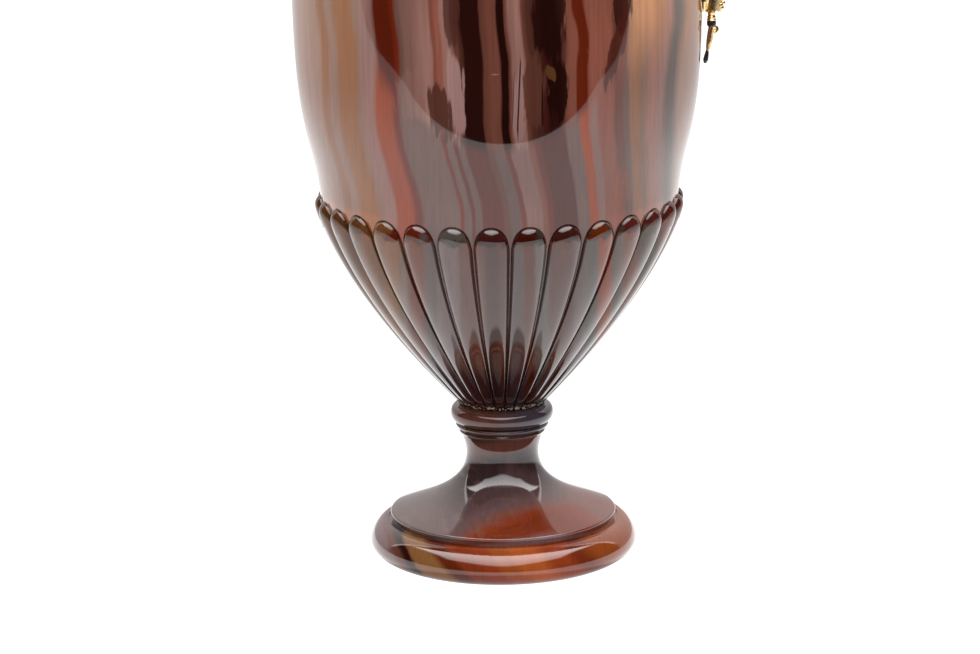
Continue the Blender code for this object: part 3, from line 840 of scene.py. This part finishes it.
def foot_agate():
    """The foot's agate, from another part of the stone. Its layers are sheets that follow z plus 0.0112
    times the square of x - 8, with one rust red sheet low in the dome and dark violet above. Clouds,
    streaks and a warm patch lie on its left, and the bead and ring are cooler on their right. The rim has
    bands of its own across X, brown and ochre on the left and orange to the right, and is lighter below
    6 mm, a painted light that stands in for the light its underside gets from the white table."""
    mix = Recipe.named("foot_agate")
    x, y, z, place = mix.places()
    wave = mix.noise(mix.stretched(place, (0.035, 0.035, 0.05)), 1.0, 2.0)
    ripple = mix.noise(mix.stretched(place, (0.12, 0.12, 0.3)), 1.0, 2.0)
    wander = (wave - 0.5) * 3.0 + (ripple - 0.5) * 1.0
    arch = (x - SHEET_MIDDLE) * (x - SHEET_MIDDLE) * SHEET_CURVE
    layer = z - y * 0.10 - SHEET_HEIGHT + arch + wander
    colour = layer_colours(mix, layer, FOOT_LAYERS)
    cloud = mix.noise(mix.stretched(place, (0.10, 0.10, 0.035)), 1.0, 3.0)
    warm = cloud.over(0.48, 0.62) * x.over(-9, -1) * z.over(22, 27)
    colour = mix.blend(warm * 0.55, colour, CLOUD)
    streak = mix.noise(mix.stretched(place, (0.25, 0.06, 0.40)), 1.0, 3.0)
    colour = mix.blend(streak.over(0.52, 0.70) * 0.35 * x.over(2, -12), colour, STREAK)
    side = x.over(-10, -22) * z.over(30, 22) * z.over(11, 12)
    colour = mix.blend(side * 0.6, colour, WARM_PATCH)
    cool = x.over(-3, 7) * z.over(36, 38.5)
    colour = mix.blend(cool * 0.8, colour, COOL_BEAD)
    rim = layer_colours(mix, x + wander * 2.0 + (z - 6) * 0.8, RIM_LAYERS)
    # Painted light: the rim's underside is lightened below 6 mm
    rim = mix.blend(z.over(*RIM_PAINTED_LIGHT), rim, RIM_LIGHT_TINT, "MULTIPLY")
    colour = mix.blend(z.over(*RIM_EDGE), colour, rim)
    return stone(mix, colour, place)


def gilt(name):
    """Gilded metal, warm and a little worn: darker and rougher in patches of noise."""
    mix = Recipe.named(name)
    place = mix.places()[3]
    worn = mix.noise(place, 0.35, 4.0)
    colour = mix.blend(worn.over(0.35, 0.7), tuple(colours().gilt), tuple(0.7 * c for c in colours().gilt))
    bump = mix.bump(mix.noise(place, 1.6, 3.0), 0.25, 0.0002)
    return mix.finish(Base_Color=colour, Metallic=1.0, Roughness=0.18 + worn * 0.16, Normal=bump)


class EWER_OT_body(bpy.types.Operator):
    """Make the hollow agate body with its carved gadroons"""

    bl_idname = "ewer.body"
    bl_label = "Agate body"

    def execute(self, context):
        ewer = Ewer()
        points, faces, carving, across, join = carved_sectors(ewer)
        angle = (ewer.turns[:, None] + across[:-1]).ravel()
        outline = shell_rows(ewer, join)
        radius, height = outline[:, :1], outline[:, 1:]
        shell = np.stack([radius * np.cos(angle), radius * np.sin(angle), height + 0 * angle], -1)
        shell_faces = grid_faces(len(outline), len(angle), True, len(points))
        points = np.vstack([points, shell.reshape(-1, 3)])
        carving = np.concatenate([carving, np.zeros(shell.size // 3)])
        piece(
            "agate_body_stone",
            points,
            np.vstack([faces, shell_faces]),
            body_agate(),
            "agate_body",
            "body_agate",
            carving,
        )
        return {"FINISHED"}


class EWER_OT_foot(bpy.types.Operator):
    """Make the turned agate foot, stem and collar rings"""

    bl_idname = "ewer.foot"
    bl_label = "Agate foot"

    def execute(self, context):
        outline, columns = foot_outline(), 240
        points, faces = turned_points(outline, columns), grid_faces(len(outline), columns)
        piece("agate_foot_stone", points, faces, foot_agate(), "agate_foot", "foot_agate", sharp=50)
        return {"FINISHED"}


def foot_outline():
    """From the middle of the flat underside, round the rim and over its crest, through the undercut below
    the dome's edge, over the dome and up the stem, then round the thin roll, the bead and the collar ring
    to the seat. The rim's lower half is a quarter of an ellipse, the bead and the ring are half-ellipses,
    and the rest are Bezier curves and short straight lines."""
    foot, top = sizes().foot_radius, FOOT_HIGH[2]
    rest, widest, groove = mm(29.2, 5.0, 10.6)
    dome_edge, stem, waist = mm(31.9, 10.25, 29.9)
    crest = mm(32.7, 10.85)
    turn = np.linspace(0, math.pi / 2, 18)
    start = [(0, 0), (rest * 0.5, 0), (rest - 0.4 * MM, 0)]
    lower = np.column_stack([rest + (foot - rest) * np.sin(turn), widest * (1 - np.cos(turn))])
    upper = bezier(lower[-1], (foot, widest + 2.6 * MM), (crest[0] + 2.6 * MM, 10.7 * MM), crest, 26)
    roll = bezier(crest, mm(32.5, 11.0), mm(32.38, 10.95), (32.35 * MM, groove), 6)
    ledge = [(dome_edge - 0.95 * MM, groove), (dome_edge - 1.0 * MM, 11.0 * MM)]
    edge = bezier(
        ledge[-1],
        (dome_edge - 0.7 * MM, 11.9 * MM),
        (dome_edge + 0.25 * MM, 12.6 * MM),
        (dome_edge - 0.25 * MM, 13.3 * MM),
        8,
    )
    slope = (edge[-1][0] - 9 * MM, edge[-1][1] + 3.75 * MM)
    dome = bezier(edge[-1], slope, (stem, waist - 9.5 * MM), (stem, waist), 46)
    flare = bezier((stem, waist), (stem, waist + 0.5 * MM), mm(10.2, 32.75), mm(12.0, 36.15), 14)
    quirk = [mm(12.12, 36.22), mm(12.15, 36.35), mm(12.1, 36.5), mm(11.75, 37.2)]
    bead = half_round(*mm(37.3, 39.05, 11.8, 13.1), 14)
    ring = half_round(*mm(39.1, 43.9, 12.6, 14.5), 20)
    seat = [(11.9 * MM, top), (8.0 * MM, top), (0, top)]
    return np.vstack([start, lower, upper, roll, ledge, edge, dome, flare, quirk, bead, ring[1:], seat])


def joined(shapes):
    """Several (points, faces) shapes as one."""
    points, faces, first = [], [], 0
    for shape_points, shape_faces in shapes:
        shape_points = np.asarray(shape_points, float).reshape(-1, 3)
        points.append(shape_points)
        faces.append(np.asarray(shape_faces) + first)
        first += len(shape_points)
    return np.vstack(points), np.vstack(faces)


def ring_shape(points):
    """A grid of closed rings, rows by columns, as points and quads."""
    rows, columns = points.shape[:2]
    return points.reshape(-1, 3), grid_faces(rows, columns)


def bar(path, radii, sides=20, flatten=1.0):
    """A round bar whose middle line is a path of (x, z) in the plane Y = 0: round each of its points a
    circle of the given radius lies across the path. Both ends are drawn in to the middle."""
    path, radii = np.asarray(path, float), np.asarray(radii, float)
    along = np.gradient(path, axis=0)
    along /= np.linalg.norm(along, axis=1)[:, None]
    path, along = (np.vstack([line[:1], line, line[-1:]]) for line in (path, along))
    radii = np.concatenate([[0], radii, [0]])
    out = np.column_stack([along[:, 1], -along[:, 0]])
    turn = np.arange(sides) * 2 * math.pi / sides
    away = radii[:, None] * np.cos(turn)
    x = path[:, :1] + out[:, :1] * away
    z = path[:, 1:] + out[:, 1:] * away
    return ring_shape(np.stack([x, radii[:, None] * flatten * np.sin(turn), z], -1))


def ball(centre, size, rings=12, sides=18):
    """An egg with its axis upright: centre plus size times the unit sphere's (x, y, z)."""
    polar = np.linspace(-math.pi / 2, math.pi / 2, rings)[:, None]
    turn = np.arange(sides) * 2 * math.pi / sides
    unit = np.stack(
        [np.cos(polar) * np.cos(turn), np.cos(polar) * np.sin(turn), np.sin(polar) + 0 * turn], -1
    )
    return ring_shape(np.asarray(centre) + np.asarray(size) * unit)


def spun(outline, x, y=0.0, sides=28):
    """An outline of (radius, z) turned about an upright axis through (x, y)."""
    points = turned_points(outline, sides)
    return ring_shape(points + np.array([x, y, 0]))


def neck_outline():
    """A waisted tube: its outside from base to top, then its bore from top to base."""
    base, top = NECK_LOW[2], NECK_HIGH[2]
    straight, seat = base + 7.5 * MM, top - 7.0 * MM
    waist = base + 0.48 * (top - base)
    foot, middle, head, bore, mouth = mm(16.2, 13.6, 17.6, 10.0, 14.2)
    low = bezier(
        (foot, straight), (foot - 1 * MM, straight + 3 * MM), (middle, waist - 5 * MM), (middle, waist), 20
    )
    high = bezier(
        (middle, waist), (middle, waist + 6 * MM), (head - 0.6 * MM, seat - 3 * MM), (head, seat), 26
    )
    inside = bezier((mouth, top), (mouth, top - 7 * MM), (bore, waist + 8 * MM), (bore, waist), 26)
    ends = [(foot, base), (foot, straight)], [(head, top), (mouth, top)], [(bore, base), (foot, base)]
    return np.vstack([ends[0], low, high, ends[1], inside, ends[2]])


def collar_surface(columns=240, twists=48):
    """A ring with a roped half-round between two fillets. The rope's radius is the half-round's, less a
    share of it that follows the height of a wave laid slantwise round the ring."""
    low, high, bore = COLLAR_LOW[2], COLLAR_HIGH[2], 16.5 * MM
    outside = bore + 2.0 * MM
    angle = np.arange(columns) * 2 * math.pi / columns
    turn = np.linspace(-math.pi / 2, math.pi / 2, 17)[:, None]
    wave = abs(np.sin(0.5 * twists * angle + 0.9 * turn)) ** 0.6
    swell = np.cos(turn) * (0.72 + 0.28 * wave)
    middle, half = (low + high - 0.6 * MM) / 2, (high - low - 2.6 * MM) / 2
    rope = np.stack([outside + 1.6 * MM * swell, middle + half * np.sin(turn) + 0 * angle], -1)
    below = [(bore, low), (outside + 0.3 * MM, low), (outside + 0.5 * MM, low + 0.2 * MM)]
    below += [(outside + 0.5 * MM, low + 0.8 * MM), (outside + 0.3 * MM, low + 1 * MM)]
    above = [(outside - 0.6 * MM, high - 1.3 * MM), (outside - 0.6 * MM, high - 0.2 * MM)]
    above += [(outside - 0.8 * MM, high), (bore, high), (bore, low)]
    plain = [np.repeat(np.array(part)[:, None], columns, 1) for part in (below, above)]
    rows = np.concatenate([plain[0], rope, plain[1]])
    radius, height = rows[..., 0], rows[..., 1]
    return ring_shape(np.stack([radius * np.cos(angle), radius * np.sin(angle), height], -1))


def lip_surface(columns=192):
    """The lip's closed section carried round the neck. Its radius and height each have a part that is the
    same all round and a part that grows towards the spout, as a bell curve of the angle from -X."""
    base = LIP_LOW[2] + 6.4 * MM
    skirt, radius, wall, height, throat = mm(19.5, 22.5, 1.6, 9.0, 14.2)
    angle = np.arange(columns) * 2 * math.pi / columns
    away = abs(angle - math.pi)
    share = np.exp(-((away / math.radians(34)) ** 2))
    up = np.linspace(0, 1, 25)
    turn = np.linspace(-0.3, math.pi + 0.3, 13)
    mid = radius - wall / 2
    band = half_round(-6.4 * MM, -4.9 * MM, skirt - 0.1 * MM, skirt + 0.55 * MM, 8)
    upper = half_round(-1.3 * MM, 0.1 * MM, skirt - 0.1 * MM, skirt + 0.45 * MM, 8)
    rows = [np.column_stack([band, 0 * band]), np.column_stack([upper, 0 * upper])]
    flare = skirt + (radius - skirt) * up**1.5
    rows.append(np.column_stack([flare, height * up, up**1.35, up**1.2])[2:-1])
    roll = np.column_stack([mid + 1.0 * MM * np.cos(turn), height + 0.9 * MM * np.sin(turn)])
    rows.append(np.column_stack([roll, np.ones_like(roll)]))
    inner = throat + (radius - wall - throat) * up
    rows.append(np.column_stack([inner, height * up, up**1.35, up**1.2])[::-1][1:])
    rows.append(np.array([(skirt - wall, 0, 0, 0), (skirt - wall, -6.4 * MM, 0, 0)]))
    rows.append(rows[0][:1])
    section = np.vstack(rows)[:, :, None]
    reach, rise = 18.5 * MM * share, 9.0 * MM * share
    r = section[:, 0] + section[:, 2] * reach
    z = base + section[:, 1] + section[:, 3] * rise
    return ring_shape(np.stack([r * np.cos(angle), r * np.sin(angle), z], -1))


class Handle:
    """The handle's lines, worked out from the lip's skirt and the body's widest point."""

    def __init__(self, ewer):
        self.ewer = ewer
        self.middle = ewer.widest
        self.plate_height, self.plate_width, self.thickness = mm(24, 15, 2.4)
        self.reach = 92 * MM
        self.lip_base = LIP_LOW[2] + 6.4 * MM

    def drop_top(self):
        """Where the bar ends and the drop hangs, (x, z), low on the leaf plate."""
        height = self.middle - self.plate_height / 2 + 0.8 * MM
        return self.ewer.radius(height) + 2.5 * MM, height

    def path(self, steps=30):
        """Four Bezier stretches: out of the skirt, over the crown, down the side and in to the plate."""
        pad = (19.8 * MM, self.lip_base - 3.2 * MM)
        start = (pad[0] + 2 * MM, pad[1])
        crown = (self.reach / 2 + 8 * MM, self.lip_base + 24 * MM)
        side = (self.reach, self.lip_base - 32 * MM)
        landing = (sizes().body_radius + 4.4 * MM, self.middle + 0.16 * self.plate_height)
        end = self.drop_top()
        first = bezier(start, (start[0] + 16 * MM, start[1]), (crown[0] - 18 * MM, crown[1]), crown, steps)
        second = bezier(crown, (crown[0] + 19 * MM, crown[1]), (side[0], side[1] + 26 * MM), side, steps)
        third = bezier(
            side, (side[0], side[1] - 24 * MM), (landing[0] + 3 * MM, landing[1] + 18 * MM), landing, steps
        )
        leave = (landing[0] - 1.5 * MM, landing[1] - 6 * MM)
        last = bezier(landing, leave, (end[0] + 0.6 * MM, end[1] + 4 * MM), end, 10)
        return np.vstack([[pad], [start], first, second, third, last])

    def radii(self, count):
        """The bar swells from 2.6 mm at its ends to 3.6 mm between them."""
        u = np.linspace(0, 1, count)
        return 2.6 * MM + 1.0 * MM * np.sin(math.pi * u**0.8) ** 1.2

    def plate(self, rows=72, columns=44):
        """The leaf plate. Across it t runs from -1 to 1 and up it v does: its thickness is the product of
        two half-ellipses, ribbed by a cosine of t and notched along its edges by a wave of v."""
        v = np.linspace(-1, 1, rows)[:, None]
        t = np.linspace(-1, 1, columns)
        height = self.middle + v * self.plate_height / 2
        half = self.plate_width / 2 * np.sqrt(np.maximum(0.02, 1 - abs(v) ** 2.2))
        half = half * (1 - 0.10 * abs(np.sin(3.5 * math.pi * (v + 1))))
        swell = np.sqrt(1 - 0.8 * t * t) * np.sqrt(1 - 0.8 * v * v)
        ribs = 0.80 + 0.20 * np.cos(4.5 * math.pi * t - 1.1 * math.pi * v * np.sign(t))
        ribs = ribs * (1 - 0.35 * np.exp(-((t / 0.07) ** 2)))
        body = self.ewer.radius(height)
        depths = GAP + self.thickness * swell * ribs, GAP + 0 * swell
        angle = t * half / sizes().body_radius
        sides = []
        for depth, flip in zip(depths, (1, -1)):
            radius = body + depth
            points = np.stack([radius * np.cos(angle), radius * np.sin(angle), height + 0 * t], -1)
            sides.append(points[:, ::flip])
        return ring_shape(np.concatenate(sides, 1))

    def scroll(self, centre, start, turns, radius, thickness, steps=72):
        """A volute: a bar on a spiral whose radius falls evenly, ending in a small ball."""
        u = np.linspace(0, 1, steps + 1)
        angle = start + turns * 2 * math.pi * u
        away = radius * (1 - 0.72 * u)
        path = np.column_stack([centre[0] + away * np.cos(angle), centre[1] + away * np.sin(angle)])
        end = path[-1]
        return joined(
            [
                bar(path, thickness * (1 - 0.35 * u), 16),
                ball((end[0], 0, end[1]), [1.25 * thickness] * 3),
            ]
        )

    def rings(self, places, path, radii):
        """Turned rings round the bar at the given shares of its length."""
        made = []
        for place in places:
            i = int(place * (len(path) - 1))
            span = path[i - 1 : i + 2]
            along = span[2] - span[0]
            along = along / np.linalg.norm(along)
            s = np.linspace(-1, 1, 9)
            line = path[i] + along * s[:, None] * 1.1 * MM
            made.append(bar(line, radii[i] + 0.75 * MM * np.sqrt(1 - 0.98 * s * s) + 0.05 * MM, 28))
        return made


class EWER_OT_neck(bpy.types.Operator):
    """Make the waisted agate neck"""

    bl_idname = "ewer.neck"
    bl_label = "Agate neck"

    def execute(self, context):
        outline = neck_outline()
        points, faces = turned_points(outline, 160), grid_faces(len(outline), 160)
        piece("agate_neck_stone", points, faces, plain_agate("neck_agate"), "agate_neck", "neck_agate")
        return {"FINISHED"}


class EWER_OT_lip(bpy.types.Operator):
    """Make the gilt lip with its spout and the roped collar"""

    bl_idname = "ewer.lip"
    bl_label = "Gilt lip and collar"

    def execute(self, context):
        metal = gilt("mount_gilt")
        piece("roped_collar", *collar_surface(), metal, "neck_collar", "collar_gilt")
        piece("rolled_lip", *lip_surface(), metal, "spouted_lip", "lip_gilt")
        return {"FINISHED"}


class EWER_OT_handle(bpy.types.Operator):
    """Make the gilt handle with its scrolls, leaf plate, enamel bands and hanging drop"""

    bl_idname = "ewer.handle"
    bl_label = "Gilt handle"

    def execute(self, context):
        handle = Handle(Ewer())
        path = handle.path()
        radii = handle.radii(len(path))
        size = 8.5 * MM
        crown_point, curl_point = 31, 76
        sleeve_part = slice(int(0.46 * len(path)), int(0.59 * len(path)))
        crown, low = path[crown_point], path[curl_point]
        thumb = (crown[0] - 0.4 * size, crown[1] + 0.62 * size)
        curl = (low[0] + 1.05 * size, low[1] - 0.1 * size)
        shapes = [
            bar(path, radii, 24),
            handle.plate(),
            handle.scroll(thumb, math.radians(-62), -1.1, 0.8 * size, 1.5 * MM),
            handle.scroll(curl, math.radians(165), 1.1, 0.95 * size, 1.8 * MM),
            *handle.rings((0.16, 0.19, 0.42, 0.45, 0.60, 0.63), path, radii),
        ]
        metal, black = gilt("handle_gilt"), enamel("band_enamel")
        gold_parts, dark_parts = hanging_drop(handle)
        shapes += gold_parts
        piece("handle_metal", *joined(shapes), metal, "scroll_handle", "handle_gilt")
        dark_parts.append(bar(path[sleeve_part], radii[sleeve_part] + 0.25 * MM, 24))
        piece("handle_enamel", *joined(dark_parts), black, None, "handle_gilt")
        return {"FINISHED"}


def hanging_drop(handle):
    """The turned drop under the leaf plate, as gilt parts and enamel parts: small outlines turned about an
    upright axis, bars that lean inwards, a scroll and balls."""
    x, top = handle.drop_top()
    x += 0.05 * MM
    block = [(0, 152.3), (1.05, 152.3), (1.2, 152.8), (0.95, 153.4), (1.15, 154.2), (0.9, 155.0)]
    block += [(1.15, 156.0), (1.0, 157.2), (0, 157.6)]
    copper = [(0, 151.9), (1.2, 151.9), (1.35, 152.1), (1.2, 152.4), (0, 152.4)]
    band = [(0, 150.2), (1.0, 150.2), (1.25, 150.6), (1.3, 151.2), (1.2, 151.9), (0, 151.95)]

    def fine(rows):
        """An outline of (radius, height) rows with more points."""
        return smooth_outline(np.array(rows) * MM, 0.15 * MM)

    def leaning(rows):
        """A round bar through (offset from the block's axis, height, radius) rows."""
        rows = np.array(rows) * MM
        t = np.linspace(0, len(rows) - 1, 40)
        offset, height, radius = (np.interp(t, np.arange(len(rows)), rows[:, i]) for i in range(3))
        return bar(np.column_stack([x + offset, height]), radius, 20)

    drop = leaning([(0.2, 150.6, 0.95), (-0.2, 148.6, 0.9), (-0.6, 146.0, 0.85), (-0.95, 144.0, 0.6)])
    neck = leaning([(-0.95, 144.3, 0.5), (-1.1, 143.3, 0.42)])
    bulb = leaning([(-1.1, 143.6, 0.42), (-1.35, 142.2, 0.62), (-1.6, 140.9, 0.74), (-1.8, 140.0, 0.35)])
    curl = handle.scroll((x + 0.75 * MM, 149.2 * MM), math.radians(70), -1.0, 0.95 * MM, 0.5 * MM, 40)
    heart = ball((x + 0.7 * MM, 0, 149.2 * MM), (0.75 * MM, 0.45 * MM, 0.75 * MM))
    beads = [(61.4, 0.0, 155.4, 0.9), (61.2, 1.0, 156.3, 0.75), (61.2, -1.0, 156.3, 0.75)]
    beads += [(62.0, 0.0, 156.8, 0.7), (60.9, 0.5, 154.6, 0.5), (60.9, -0.5, 154.7, 0.5)]
    gold = [spun(fine(block), x), spun(fine(copper), x), drop, neck, curl, heart]
    gold += [ball(mm(*place), mm(radius) * 3) for *place, radius in beads]
    return gold, [spun(fine(band), x), bulb]


def enamel(name):
    """Glossy black enamel with faint clouding."""
    mix = Recipe.named(name)
    cloud = mix.noise(mix.places()[3], 0.8, 3.0)
    dark = tuple(colours().enamel)
    colour = mix.blend(cloud, dark, tuple(3 * c for c in dark))
    return mix.finish(Base_Color=colour, Roughness=0.10 + cloud * 0.08, IOR=1.52)


class EWER_OT_stage(bpy.types.Operator):
    """Make the table, the studio light and the camera"""

    bl_idname = "ewer.stage"
    bl_label = "Table, light and camera"

    def execute(self, context):
        make_table()
        make_world()
        make_camera()
        return {"FINISHED"}


# The table's front edge, which wanders a little, as (x, y), where it reaches its usual distance in front
USUAL_FRONT = 0.30
TABLE_SIDE, TABLE_BACK = 1.3, 2.5
TABLE_EDGE = np.array(
    [(-1.3, -0.20), (-0.90, -0.21), (-0.74, -0.25), (-0.64, -0.30), (-0.58, -0.325), (-0.52, -0.34)]
    + [(-0.435, -0.35), (-0.22, -0.314)]
    + [(-0.116, -0.296), (-0.05, -0.289), (0.08, -0.283), (0.15, -0.288), (0.245, -0.299)]
    + [(0.46, -0.319), (0.635, -0.265), (0.90, -0.24), (1.3, -0.22)]
)


def make_table():
    """A white table that glows by itself. It falls off from the ewer's neighbourhood outwards, is a little
    brighter close by and shaded under the foot. The camera sees it plain white."""
    mix = Recipe.named("white_table")
    x, y, _, _ = mix.places()
    away = ((x * x) + (y * y) * 0.6) ** 0.5
    strength = away.over(620, 160) * (studio().table_glow - studio().white) + studio().white
    strength = (strength + away.over(150, 60) * 0.3) * (away.over(34, 38) * 0.65 + 0.35)
    seen = mix.node("ShaderNodeLightPath", None, None, "Is Camera Ray")
    light = mix.node("ShaderNodeEmission", None, {"Strength": strength + seen * (TABLE_WHITE - strength)})
    mix.node("ShaderNodeOutputMaterial", None, {"Surface": light})
    front = [(x, y * studio().table_front / USUAL_FRONT, 0) for x, y in TABLE_EDGE]
    mesh = bpy.data.meshes.new("white_table")
    corners = [*front, (TABLE_SIDE, TABLE_BACK, 0), (-TABLE_SIDE, TABLE_BACK, 0)]
    mesh.from_pydata(corners, [], [tuple(range(len(corners)))])
    mesh.materials.append(mix.owner)
    table = bpy.data.objects.new("white_table", mesh)
    table.visible_diffuse = False
    bpy.context.scene.collection.objects.link(table)


def make_world():
    """A white wall behind and beside the ewer, a dark room in front of it with one soft box above the
    camera, and even light from all round for what the stone scatters. All of it depends on the direction
    (dx, dy, dz) alone. The wall begins where half of |dx|, plus dy, plus 0.42 dz |dz| passes 0.9, with a
    thin bright arm along its edge. The soft box lies between two curves on which dy less 1.15 times the
    square of dx stays the same."""
    world = bpy.data.worlds.new("studio")
    mix = Recipe(world)
    towards = mix.node("ShaderNodeTexCoord", output="Generated")
    dx, dy, dz = (mix.node("ShaderNodeSeparateXYZ", None, {0: towards}, axis) for axis in range(3))
    side = abs(dx) * 0.5 + dy + dz * abs(dz) * 0.42
    wall = side.over(*WALL_EDGE) * (dz.over(0.1, 0.7) * 0.75 + 1)
    arm = abs(side - 0.90).over(0.025, 0.008) * dz.over(0.25, 0.4) * dz.over(0.86, 0.80) * 4
    reach = dy - dx * dx * 1.15
    box = reach.over(*BOX_FRONT) * reach.over(*BOX_BACK) * abs(dx).over(*BOX_SIDES)
    box = box * dz.over(*BOX_BASE) * (reach.over(-0.95, -0.35) * 0.5 + 0.5)
    mirrored = (wall + arm) * studio().white + box * studio().soft_box + 0.015
    scattered = 0.80 + dz * 0.30 - dy * 0.15
    path = "ShaderNodeLightPath"
    diffuse = mix.node(path, None, None, "Is Diffuse Ray")
    seen = mix.node(path, None, None, "Is Camera Ray")
    strength = mirrored + diffuse * (scattered - mirrored)
    strength = strength + seen * (ROOM_WHITE - strength)
    light = mix.node("ShaderNodeBackground", None, {"Strength": strength})
    mix.node("ShaderNodeOutputWorld", None, {"Surface": light})
    bpy.context.scene.world = world


def make_camera():
    """A camera in front of the ewer that looks down at a point on its middle line, a little to the side."""
    data = bpy.data.cameras.new("camera")
    data.lens = studio().lens
    data.sensor_width = 36.0
    camera = bpy.data.objects.new("camera", data)
    bpy.context.scene.collection.objects.link(camera)
    pitch, away = studio().camera_pitch, studio().camera_distance
    right_shift, aim_height = mm(-3.08, 65.8)
    camera.location = (right_shift, -away * math.cos(pitch), aim_height + away * math.sin(pitch))
    turn = Matrix.Rotation(math.pi / 2 - pitch, 3, "X") @ Matrix.Rotation(studio().camera_roll, 3, "Z")
    camera.rotation_mode = "QUATERNION"
    camera.rotation_quaternion = turn.to_quaternion()
    data.clip_start, data.clip_end = 0.01, 50
    bpy.context.scene.camera = camera
    bpy.context.scene.view_settings.view_transform = "Standard"


class EWER_PT_panel(bpy.types.Panel):
    """Lists the steps that dress the ewer"""

    bl_idname = "EWER_PT_panel"
    bl_label = "Agate ewer"
    bl_space_type = "VIEW_3D"
    bl_region_type = "UI"
    bl_category = "Ewer"

    def draw(self, context):
        for step in STEPS:
            self.layout.operator(step.bl_idname)


STEPS = (EWER_OT_body, EWER_OT_foot, EWER_OT_neck, EWER_OT_lip, EWER_OT_handle, EWER_OT_stage)
GROUPS = {"ewer_sizes": EwerSizes, "ewer_colours": EwerColours, "ewer_studio": EwerStudio}


def register():
    for name, group in GROUPS.items():
        bpy.utils.register_class(group)
        setattr(bpy.types.Scene, name, PointerProperty(type=group))
    for step in (*STEPS, EWER_PT_panel):
        bpy.utils.register_class(step)


def unregister():
    for step in reversed((*STEPS, EWER_PT_panel)):
        bpy.utils.unregister_class(step)
    for name, group in reversed(list(GROUPS.items())):
        delattr(bpy.types.Scene, name)
        bpy.utils.unregister_class(group)


def run(step):
    """Calls an operator by its name, such as ewer.body."""
    group, name = step.bl_idname.split(".")
    getattr(getattr(bpy.ops, group), name)()


def main():
    register()
    for step in STEPS:
        run(step)


if __name__ == "__main__":
    main()
